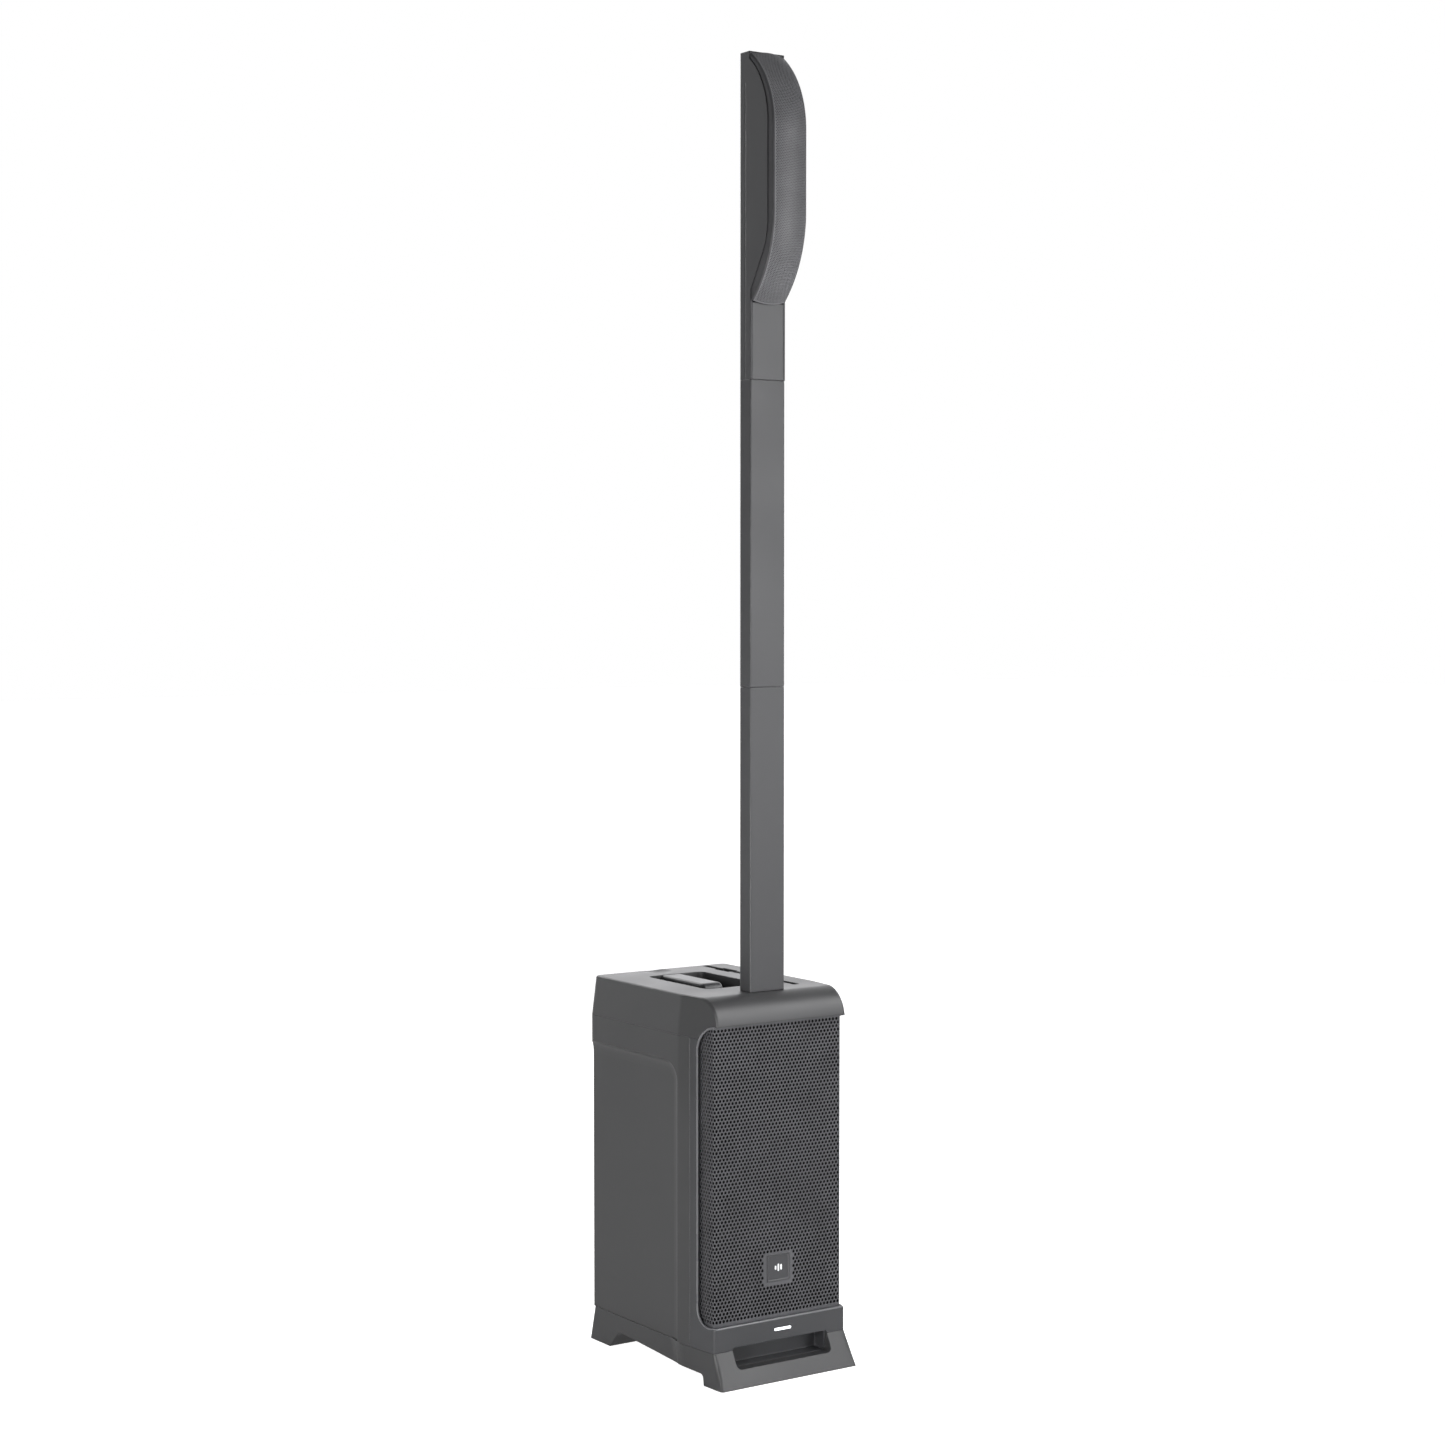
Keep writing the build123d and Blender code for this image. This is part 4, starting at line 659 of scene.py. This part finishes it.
class Outline:
    """Flat path with rounded corners: point and outward normal by length along it."""

    def __init__(self, corners, radii, arc_steps=10):
        points = [Vector(corners[0])]
        for before, corner, after, radius in zip(corners, corners[1:], corners[2:], radii):
            a, b, c = Vector(before), Vector(corner), Vector(after)
            in_dir, out_dir = (b - a).normalized(), (c - b).normalized()
            turn = in_dir.angle_signed(out_dir)
            reach = radius * math.tan(abs(turn) / 2)
            start, end = b - in_dir * reach, b + out_dir * reach
            inward = (out_dir - in_dir).normalized()
            centre = b + inward * (radius / math.cos(turn / 2))
            arm = start - centre
            for k in range(arc_steps + 1):
                angle = -turn * k / arc_steps
                c_, s_ = math.cos(angle), math.sin(angle)
                points.append(centre + Vector((arm.x * c_ - arm.y * s_, arm.x * s_ + arm.y * c_)))
            points[-1] = end
        points.append(Vector(corners[-1]))
        self.points = points
        self.stops = [0.0]
        for p, q in zip(points, points[1:]):
            self.stops.append(self.stops[-1] + (q - p).length)
        self.length = self.stops[-1]

    def at(self, distance):
        """(point, outward normal) at a distance along the path; outward is right of travel."""
        distance = min(max(distance, 0.0), self.length)
        k = 0
        while k < len(self.points) - 2 and self.stops[k + 1] < distance:
            k += 1
        p, q = self.points[k], self.points[k + 1]
        span = max(self.stops[k + 1] - self.stops[k], 1e-9)
        along = (q - p).normalized()
        return p.lerp(q, (distance - self.stops[k]) / span), Vector((along.y, -along.x))


# ---- front grille -------------------------------------------------------------------
SHEET = 1.5 * MM
grille_low, grille_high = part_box("front_grille")
badge_low, badge_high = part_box("badge")
badge_mid = (badge_low + badge_high) / 2


def make_front_grille():
    """Perforated sheet that wraps round both front corners; a plain square carries the badge."""
    splay, corner_r, pitch, hole_r = 1.5 * MM, 4 * MM, 7.1 * MM, 2.82 * MM
    back, front = grille_high.y, grille_low.y
    side = grille_high.x - splay
    corners = [(grille_low.x, back), (-side, front), (side, front), (grille_high.x, back)]
    plan = Outline(corners, [corner_r] * 2)
    columns = round(plan.length / pitch)
    half_pitch = plan.length / columns / 2
    height = grille_high.z - grille_low.z
    rows = round(height / (pitch * math.sin(math.radians(60))))
    row_height = height / rows
    plain_x, plain_z = 28.5 * MM, 25.5 * MM

    def surface(u, v, is_back):
        point, outward = plan.at(u)
        point = point - outward * (SHEET if is_back else 0)
        return (point.x, point.y, grille_low.z + v)

    def holds(u, v):
        point, _ = plan.at(u)
        on_badge = point.y < front + 1 * MM and abs(point.x) < plain_x + hole_r
        if on_badge and abs(grille_low.z + v - badge_mid.z) < plain_z + hole_r:
            return False
        return row_height < v < height - row_height and pitch < u < plan.length - pitch

    mesh = perforated(columns, rows, half_pitch, row_height, hole_r, 2, holds, surface)
    piece("front_grille_sheet", mesh, "grille_steel", "cabinet",
          replaces=("front_grille",))


make_front_grille()


# ---- badge --------------------------------------------------------------------------
def frustum_ring(sections):
    """Closed strip of quads through square sections (half width, half height, y)."""
    vertices, faces = [], []
    for half_x, half_z, y in sections:
        for sx, sz in ((-1, -1), (1, -1), (1, 1), (-1, 1)):
            vertices.append((badge_mid.x + sx * half_x, y, badge_mid.z + sz * half_z))
    for k in range(len(sections) - 1):
        for m in range(4):
            n = (m + 1) % 4
            faces.append([4 * k + m, 4 * k + n, 4 * k + 4 + n, 4 * k + 4 + m])
    faces.append([3, 2, 1, 0])
    last = 4 * (len(sections) - 1)
    faces.append([last, last + 1, last + 2, last + 3])
    return vertices, [face[::-1] for face in faces]


def make_badge():
    """Bevelled square frame with a sunk field that carries three plain bars."""
    face = grille_low.y
    half = (badge_high.x - badge_low.x) / 2
    rim, proud = 2.0 * MM, 1.5 * MM
    sections = [
        (half, half, face + 0.2 * MM), (half, half, face - 1.1 * MM),
        (half - 0.4 * MM, half - 0.4 * MM, face - proud), (half - rim, half - rim, face - proud),
        (half - rim - 1.3 * MM, half - rim - 1.3 * MM, face - 0.2 * MM),
    ]
    mesh = frustum_ring(sections)
    piece("badge_frame", mesh, "badge_plastic", "cabinet", 20, ("badge",))
    bar_w, pitch, heights = 3.2 * MM, 5.6 * MM, (7.0, 12.5, 9.5)
    for index, tall in enumerate(heights):
        x = badge_mid.x + (index - 1) * pitch
        r, half_z, outline = bar_w / 2, (tall * MM - bar_w) / 2, []
        for end in (1, -1):
            for k in range(9):
                turn = math.pi * k / 8
                outline.append((x + end * r * math.cos(turn),
                                badge_mid.z + end * (half_z + r * math.sin(turn))))
        mesh = prisms([outline], face - 0.7 * MM, face - 0.1 * MM)
        piece(f"badge_bar_{index + 1}", mesh, "mark", "cabinet")


make_badge()


# ---- array grille -------------------------------------------------------------------
CROWN, MESH_CORNER, MESH_SHEET, FOOT_SAG = 5.5 * MM, 3.0 * MM, 1.0 * MM, 2.5 * MM


class ArrayCurve:
    """Side view of the array: the grille's front and the housing's edge behind it."""

    def __init__(self):
        low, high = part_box("array_grille")
        self.front, self.foot, self.half = low.y + CROWN, 1793 * MM, high.x
        self.low_r, self.high_r = 198 * MM, 157 * MM
        self.low_z, self.high_z = 1935 * MM, 2069 * MM
        self.low_angle = math.asin((self.low_z - self.foot) / self.low_r)
        self.straight = self.high_z - self.low_z
        top_y = -132.2 * MM
        self.high_angle = math.acos((self.front + self.high_r - top_y) / self.high_r)
        self.length = self.low_r * self.low_angle + self.straight + self.high_r * self.high_angle
        self.edge = self.housing_edge()

    def at(self, s):
        """((y, z), outward normal in YZ) at a length s up the front from the foot."""
        if s < self.low_r * self.low_angle:
            angle = self.low_angle - s / self.low_r
            y, z = self.front + self.low_r, self.low_z
            normal = (-math.cos(angle), -math.sin(angle))
            return (y + self.low_r * normal[0], z + self.low_r * normal[1]), normal
        s -= self.low_r * self.low_angle
        if s < self.straight:
            return (self.front, self.low_z + s), (-1.0, 0.0)
        angle = (s - self.straight) / self.high_r
        y, z = self.front + self.high_r, self.high_z
        normal = (-math.cos(angle), math.sin(angle))
        return (y + self.high_r * normal[0], z + self.high_r * normal[1]), normal

    def housing_edge(self):
        """Corner points (y, z) of the housing's curved front edge, from the neck up."""
        neck_y, lip = -135 * MM, -183.5 * MM
        low_r, high_r, rise, slope = 120 * MM, 140.3 * MM, 108.5 * MM, math.radians(30)
        bend_z, crown_z = 1925 * MM, 2080 * MM
        points = [(neck_y, 1760 * MM), (neck_y, 1811 * MM)]
        for k in range(13):
            turn = slope * (1 - k / 12)
            points.append((lip + low_r * (1 - math.cos(turn)), bend_z - low_r * math.sin(turn)))
        for k in range(17):
            turn = math.asin(rise / high_r) * k / 16
            points.append((lip + high_r * (1 - math.cos(turn)), crown_z + high_r * math.sin(turn)))
        points.append((points[-1][0], 2230 * MM))
        return points

    def depth(self, s):
        """How far behind the grille's front, along its normal, the housing's edge lies."""
        (y, z), (ny, nz) = self.at(s)
        found = []
        for (ay, az), (by, bz) in zip(self.edge, self.edge[1:]):
            ey, ez = by - ay, bz - az
            cross = -ny * ez + nz * ey
            if abs(cross) < 1e-12:
                continue
            t = ((ay - y) * ez - (az - z) * ey) / cross
            k = ((ay - y) * -nz - (az - z) * -ny) / cross
            if t > 0 and -0.001 <= k <= 1.001:
                found.append(t)
        clear, least = 0.5 * MM, 1.2 * MM
        return max(min(found, default=2 * MM) - clear, least)


curve = ArrayCurve()


def crowned(x, s, inward):
    """Point of the crowned front at x, a length s up from the foot, and inward of its face."""
    share = 1 - (x / curve.half) ** 2
    (y, z), (ny, nz) = curve.at(s - FOOT_SAG * share * (1 - s / curve.length))
    reach = CROWN * share - inward
    return (x, y + ny * reach, z + nz * reach)


def make_array_grille():
    """Fine perforated sheet, crowned across, that follows the array's curve from neck to top."""
    pitch, hole_r = 3.0 * MM, 1.02 * MM
    span = 2 * (curve.half - MESH_CORNER)
    columns = round(span / pitch)
    half_pitch = span / columns / 2
    rows = round(curve.length / (pitch * math.sin(math.radians(60))))
    row_height = curve.length / rows

    def surface(u, v, is_back):
        return crowned(u - span / 2, v, MESH_SHEET if is_back else 0)

    def holds(u, v):
        return row_height < v < curve.length - row_height and half_pitch < u < span - half_pitch

    mesh = perforated(columns, rows, half_pitch, row_height, hole_r, 1, holds, surface)
    piece("array_grille_sheet", mesh, "mesh_steel", "array",
          angle=40, replaces=("array_grille",))


def make_array_returns():
    """Plain rounded returns at both sides of the fine sheet, back to the housing's edge, in a darker copy
    of the mesh steel as painted shade.
    """
    stations, arc_steps = 90, 6
    edge_x = curve.half - MESH_CORNER
    lip = CROWN * (1 - (edge_x / curve.half) ** 2)
    for side, name in ((-1, "array_grille_return_left"), (1, "array_grille_return_right")):
        vertices, faces = [], []
        for j in range(stations + 1):
            s = curve.length * j / stations
            (y, z), (ny, nz) = curve.at(s)
            deep = curve.depth(s)
            corner = min(MESH_CORNER, deep * 0.8)
            for wall in (0.0, MESH_SHEET):
                points = []
                for k in range(arc_steps + 1):
                    turn = math.pi / 2 * k / arc_steps
                    x = edge_x + (MESH_CORNER - wall) * math.sin(turn)
                    reach = lip - corner + (corner - wall) * math.cos(turn)
                    points.append((side * x, y + ny * reach, z + nz * reach))
                x = curve.half - wall
                points.append((side * x, y - ny * deep, z - nz * deep))
                vertices += points
        count = arc_steps + 2
        for j in range(stations):
            for k in range(count - 1):
                a, b = 2 * count * j + k, 2 * count * (j + 1) + k
                faces.append([a, a + 1, b + 1, b])
                faces.append([a + count, b + count, b + count + 1, a + count + 1])
            for k in (0, count - 1):
                a, b = 2 * count * j + k, 2 * count * (j + 1) + k
                faces.append([a, b, b + count, a + count] if k == 0 else [a, a + count, b + count, b])
        last = 2 * count * stations
        for k in range(count - 1):
            faces.append([k, k + count, k + 1 + count, k + 1])
            faces.append([last + k, last + k + 1, last + k + 1 + count, last + k + count])
        if side < 0:
            faces = [f[::-1] for f in faces]
        piece(name, (vertices, faces), "mesh_painted_shade", "array", 40)


def make_array_cloth():
    """Black cloth close behind the fine sheet, which hides the drivers."""
    stations, across = 60, 12
    edge_x = curve.half - MESH_CORNER - 0.3 * MM
    vertices, faces = [], []
    for j in range(stations + 1):
        s = 1.5 * MM + (curve.length - 3 * MM) * j / stations
        for k in range(across + 1):
            x = edge_x * (2 * k / across - 1)
            vertices.append(crowned(x, s, MESH_SHEET + 0.4 * MM))
    row = across + 1
    for j in range(stations):
        for k in range(across):
            a = j * row + k
            faces.append([a, a + 1, a + row + 1, a + row])
    cloth_piece = piece("array_cloth", (vertices, faces), "cloth", "array", 60)
    thick = cloth_piece.modifiers.new("thickness", "SOLIDIFY")
    thick.thickness = 0.3 * MM
    thick.offset = 0


make_array_grille()
make_array_returns()
make_array_cloth()


# ---- rear details -------------------------------------------------------------------
PANEL_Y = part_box("rear_panel")[1].y
PRINT = 0.08 * MM
CHANNELS = [f"channel_knob_{number}" for number in (1, 2, 3, 4)]
BUTTONS = ("menu_button", "link_button", "preset_button")


def make_knobs():
    """Skirted, fluted knobs with a light pointer; the large one has a bright ring round its crown."""
    for node in CHANNELS:
        mid, _, high = middle(node)
        base = PANEL_Y + 0.8 * MM
        r, top = 7.0 * MM, high.y
        profile = [(0, base, 0), (r, base, 0), (r, base + 1.2 * MM, 0), (r * 0.86, base + 2.0 * MM, 0),
                   (r * 0.84, base + 2.4 * MM, 1), (r * 0.78, top - 1.0 * MM, 1),
                   (r * 0.72, top - 0.2 * MM, 0), (r * 0.64, top, 0), (r * 0.3, top - 0.25 * MM, 0),
                   (0, top - 0.3 * MM, 0)]
        mesh = turned(mid.x, mid.z, profile, 96, 16, 0.35 * MM)
        piece(f"{node}_cap", mesh, "knob", node, 30, (node,))
        pointer = [bar(mid.x, mid.z, 0, r * 0.18, r * 0.70, 0.9 * MM)]
        mesh = prisms(pointer, top - 0.5 * MM, top + 0.1 * MM)
        piece(f"{node}_pointer", mesh, "print", node)
    mid, low, high = middle("main_knob")
    r, top = 16.0 * MM, high.y
    profile = [(0, low.y, 0), (r, low.y, 0), (r, low.y + 1.0 * MM, 0), (r * 0.95, low.y + 1.6 * MM, 0),
               (r * 0.95, low.y + 2.0 * MM, 1), (r * 0.93, top - 1.6 * MM, 1),
               (r * 0.88, top - 0.5 * MM, 0), (r * 0.82, top, 0), (r * 0.76, top, 0),
               (r * 0.70, top - 0.7 * MM, 0), (r * 0.3, top - 1.0 * MM, 0), (0, top - 1.1 * MM, 0)]
    mesh = turned(mid.x, mid.z, profile, 168, 28, 0.45 * MM)
    piece("main_knob_cap", mesh, "knob", "main_knob", 30, ("main_knob",))
    rim = [(disc(mid.x, mid.z, r * 0.815, 96), disc(mid.x, mid.z, r * 0.765, 96))]
    mesh = frames(rim, top - 0.2 * MM, top + 0.15 * MM)
    piece("main_knob_ring", mesh, "steel", "main_knob")
    mesh = prisms([disc(mid.x, mid.z + r * 0.52, 0.9 * MM)], top - 1.2 * MM, top - 0.6 * MM)
    piece("main_knob_dot", mesh, "print", "main_knob")


def make_panel_print():
    """Screen print: dial ticks, channel dots, group rules and the power marks."""
    marks, rims = [], []
    for number, node in enumerate(CHANNELS, start=1):
        mid, _, _ = middle(node)
        for k in range(11):
            far = 10.6 * MM if k in (0, 5, 10) else 9.8 * MM
            marks.append(bar(mid.x, mid.z, -150 + 30 * k, 8.4 * MM, far, 0.5 * MM))
        for k in range(number):
            dot_x = mid.x + (k - (number - 1) / 2) * 2.6 * MM
            marks.append(disc(dot_x, mid.z - 12.5 * MM, 0.7 * MM, 12))
    mid, _, _ = middle("main_knob")
    dial_r = 19 * MM
    for k in range(25):
        turn = math.radians(15 * k)
        marks.append(disc(mid.x + dial_r * math.sin(turn), mid.z + dial_r * math.cos(turn), 0.45 * MM, 8))
    for node in BUTTONS:
        mid, _, _ = middle(node)
        rims.append((disc(mid.x, mid.z, 6.6 * MM, 36), disc(mid.x, mid.z, 6.2 * MM, 36)))
    panel_mid, panel_low, panel_high = middle("rear_panel")
    half = (panel_high.x - panel_low.x) / 2 - 12 * MM
    for z in (457 * MM, 415 * MM, 363 * MM):
        marks.append(rounded(panel_mid.x, z, 2 * half, 0.5 * MM, 0.2 * MM, 2))
    low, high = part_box("power_rocker")
    mark_x = high.x + 5 * MM
    marks.append(rounded(mark_x, high.z - 3 * MM, 0.7 * MM, 4 * MM, 0.3 * MM, 2))
    rims.append((disc(mark_x, low.z + 3 * MM, 2.0 * MM, 24), disc(mark_x, low.z + 3 * MM, 1.4 * MM, 24)))
    for node in ("line_sockets", "usb_socket"):
        low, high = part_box(node)
        frame_mid, wide, tall = (low + high) / 2, high.x - low.x + 6 * MM, high.z - low.z + 6 * MM
        rims.append((rounded(frame_mid.x, frame_mid.z, wide, tall, 2.5 * MM),
                     rounded(frame_mid.x, frame_mid.z, wide - 0.8 * MM, tall - 0.8 * MM, 2.1 * MM)))
    mesh = prisms(marks, PANEL_Y - 0.05 * MM, PANEL_Y + PRINT)
    piece("panel_print", mesh, "print", "cabinet")
    mesh = frames(rims, PANEL_Y - 0.05 * MM, PANEL_Y + PRINT)
    piece("panel_print_rings", mesh, "print", "cabinet")


def make_display():
    """Screen image: a heading rule, four channel meters with their scales, and a charge sign."""
    mid, low, high = middle("display_window")
    face, steps = high.y, 9
    glow, green = [], []
    glow.append(rounded(mid.x, high.z - 9 * MM, 68 * MM, 0.6 * MM, 0.2 * MM, 2))
    glow.append(rounded(mid.x + 22 * MM, high.z - 6 * MM, 22 * MM, 2.2 * MM, 0.6 * MM, 3))
    for k, level in enumerate((0.72, 0.55, 0.35, 0.80)):
        x = mid.x + (k - 1.5) * 16 * MM
        for step in range(steps):
            z = low.z + 8 * MM + step * 2.5 * MM
            if step < level * steps:
                green.append(rounded(x, z, 7 * MM, 1.5 * MM, 0.3 * MM, 2))
        glow.append(rounded(x, low.z + 5 * MM, 3 * MM, 1.2 * MM, 0.3 * MM, 2))
    for k in range(4):
        green.append(rounded(mid.x - (22 + 2.4 * k) * MM, high.z - 6 * MM, 1.8 * MM, 2.4 * MM, 0.2 * MM, 2))
    mesh = prisms(glow, face - 0.05 * MM, face + 0.04 * MM)
    piece("display_marks", mesh, "screen_glow", "cabinet")
    mesh = prisms(green, face - 0.05 * MM, face + 0.04 * MM)
    piece("display_meters", mesh, "level_glow", "cabinet")


def make_socket_trim():
    """Flange plates with a latch tab round the two combination sockets, and a ring on the line jack."""
    low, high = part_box("combo_sockets")
    z, r, steps = (low.z + high.z) / 2, (high.z - low.z) / 2, 12
    hole_r, screw = r + 0.1 * MM, 12.6 * MM
    for number, x in enumerate((low.x + r, high.x - r), start=1):
        outer, inner = rounded(x, z, 31 * MM, 31 * MM, 5 * MM, steps), []
        for px, pz in outer:
            share = hole_r / math.hypot(px - x, pz - z)
            inner.append((x + share * (px - x), z + share * (pz - z)))
        mesh = frames([(outer, inner)], PANEL_Y, PANEL_Y + 1.3 * MM)
        piece(f"combo_flange_{number}", mesh, "socket", "cabinet")
        screws = [disc(x + way * screw, z + way * screw, 1.6 * MM, 20) for way in (1, -1)]
        mesh = prisms(screws, PANEL_Y + 0.8 * MM, PANEL_Y + 1.7 * MM)
        piece(f"combo_flange_screws_{number}", mesh, "steel", "cabinet")
        latch = [rounded(x, z + 11.4 * MM, 6 * MM, 2.6 * MM, 0.7 * MM, 3)]
        mesh = prisms(latch, PANEL_Y + 0.3 * MM, PANEL_Y + 2.2 * MM)
        piece(f"combo_latch_{number}", mesh, "steel", "cabinet")
    low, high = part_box("line_sockets")
    for name, x, outer_r, inner_r in (("line_jack_ring", low.x + 7 * MM, 6.9, 3.5),
                                      ("aux_jack_ring", high.x - 4.5 * MM, 4.4, 1.95)):
        rim = [(disc(x, z, outer_r * MM, 48), disc(x, z, inner_r * MM, 48))]
        piece(name, frames(rim, PANEL_Y + 0.4 * MM, PANEL_Y + 2.0 * MM), "steel", "cabinet")


def make_battery_marks():
    """Five charge lights over the grip and ribs on the release catch."""
    mid, low, high = middle("battery_pack")
    dots = [disc(mid.x + (k - 2) * 7 * MM, low.z + 92 * MM, 1.3 * MM, 20) for k in range(5)]
    mesh = prisms(dots[:4], high.y - 0.3 * MM, high.y + 0.25 * MM)
    piece("battery_lights_on", mesh, "level_glow", "battery")
    mesh = prisms(dots[4:], high.y - 0.3 * MM, high.y + 0.25 * MM)
    piece("battery_light_off", mesh, "button", "battery")
    mid, _, high = middle("battery_release")
    ribs = [rounded(mid.x + (k - 2) * 5 * MM, mid.z, 1.4 * MM, 7 * MM, 0.6 * MM, 4) for k in range(5)]
    mesh = prisms(ribs, high.y - 0.2 * MM, high.y + 0.5 * MM)
    piece("battery_release_ribs", mesh, "button", "battery_release")


make_knobs()
make_panel_print()
make_display()
make_socket_trim()
make_battery_marks()


# ---- lip round the grille opening ----------------------------------------------------
def arc_through(first, via, last, steps=12):
    """Points on the circle through three (y, z) points, from the first to the last."""
    (ax, ay), (bx, by), (cx, cy) = first, via, last
    d = 2 * (ax * (by - cy) + bx * (cy - ay) + cx * (ay - by))
    ux = ((ax**2 + ay**2) * (by - cy) + (bx**2 + by**2) * (cy - ay) + (cx**2 + cy**2) * (ay - by)) / d
    uy = ((ax**2 + ay**2) * (cx - bx) + (bx**2 + by**2) * (ax - cx) + (cx**2 + cy**2) * (bx - ax)) / d
    centre = Vector((ux, uy))
    arm = Vector(first) - centre
    turn = arm.angle_signed(Vector(last) - centre)
    points = []
    for k in range(steps + 1):
        c, s = math.cos(-turn * k / steps), math.sin(-turn * k / steps)
        points.append((ux + arm.x * c - arm.y * s, uy + arm.x * s + arm.y * c))
    return points


def tube(path, radius, sides=12):
    """Closed round bead along a path, its ring carried along without twist."""
    points = [Vector(p) for p in path]
    across = Vector((1, 0, 0))
    vertices, faces = [], []
    for k, point in enumerate(points):
        before, after = points[max(k - 1, 0)], points[min(k + 1, len(points) - 1)]
        along = (after - before).normalized()
        across = (across - along * across.dot(along)).normalized()
        up = along.cross(across)
        for m in range(sides):
            turn = 2 * math.pi * m / sides
            vertices.append(point + (across * math.cos(turn) + up * math.sin(turn)) * radius)
    for k in range(len(points) - 1):
        for m in range(sides):
            n = (m + 1) % sides
            a, b = k * sides, (k + 1) * sides
            faces.append([a + m, a + n, b + n, b + m])
    faces.append([sides - 1 - m for m in range(sides)])
    last = (len(points) - 1) * sides
    faces.append([last + m for m in range(sides)])
    return vertices, faces


def make_bezel_lip():
    """Polished bead round the grille opening, pale as a painted highlight: down one cheek, along the ledge
    and up the other.
    """
    radius, inset = 1.9 * MM, 1.6 * MM
    low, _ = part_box("front_bezel")
    front, ledge = low.y, grille_low.z - 0.5 * MM
    edge_y, bend_y, bend_half, front_half = -129 * MM, -82 * MM, cad_box[1][0], 134 * MM

    def cheek_x(y):
        share = (bend_y - y) / (bend_y - front)
        return bend_half - (bend_half - front_half) * share - inset

    lower = arc_through((-160 * MM, ledge), (-139 * MM, ledge + 7 * MM), (edge_y, ledge + 28 * MM))
    upper = arc_through((edge_y, 560 * MM), (-143.5 * MM, 585.5 * MM), (-173 * MM, 597.5 * MM))
    side = [(cheek_x(y), y, z) for y, z in upper[::-1] + lower[::-1]]
    corner_r = 5 * MM
    corner_y = front + inset
    turn_x = cheek_x(corner_y)
    for k in range(5):
        turn = math.pi / 2 * k / 4
        side.append((turn_x - corner_r * (1 - math.cos(turn)),
                     corner_y + corner_r * (1 - math.sin(turn)), ledge))
    drop = 0.4 * MM
    path = [(-x, y, z - drop) for x, y, z in side]
    path += [(x, y, z - drop) for x, y, z in side[::-1]]
    piece("bezel_lip", tube(path, radius), "lip_painted_highlight", "cabinet", 60)


def make_grille_lining():
    """Thin foam at both folded sides of the grille, between the front foam and the baffle."""
    foam_low, foam_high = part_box("grille_foam")
    baffle_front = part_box("baffle_board")[0].y
    middle_z, tall = (foam_low.z + foam_high.z) / 2, foam_high.z - foam_low.z
    fold_gap = 3.65 * MM
    side_x = grille_high.x - fold_gap
    pads = [rounded(side * side_x, middle_z, 1.1 * MM, tall, 0.4 * MM, 3) for side in (-1, 1)]
    mesh = prisms(pads, foam_high.y, baffle_front - 0.2 * MM)
    piece("grille_lining", mesh, "foam", "cabinet")


make_bezel_lip()
make_grille_lining()
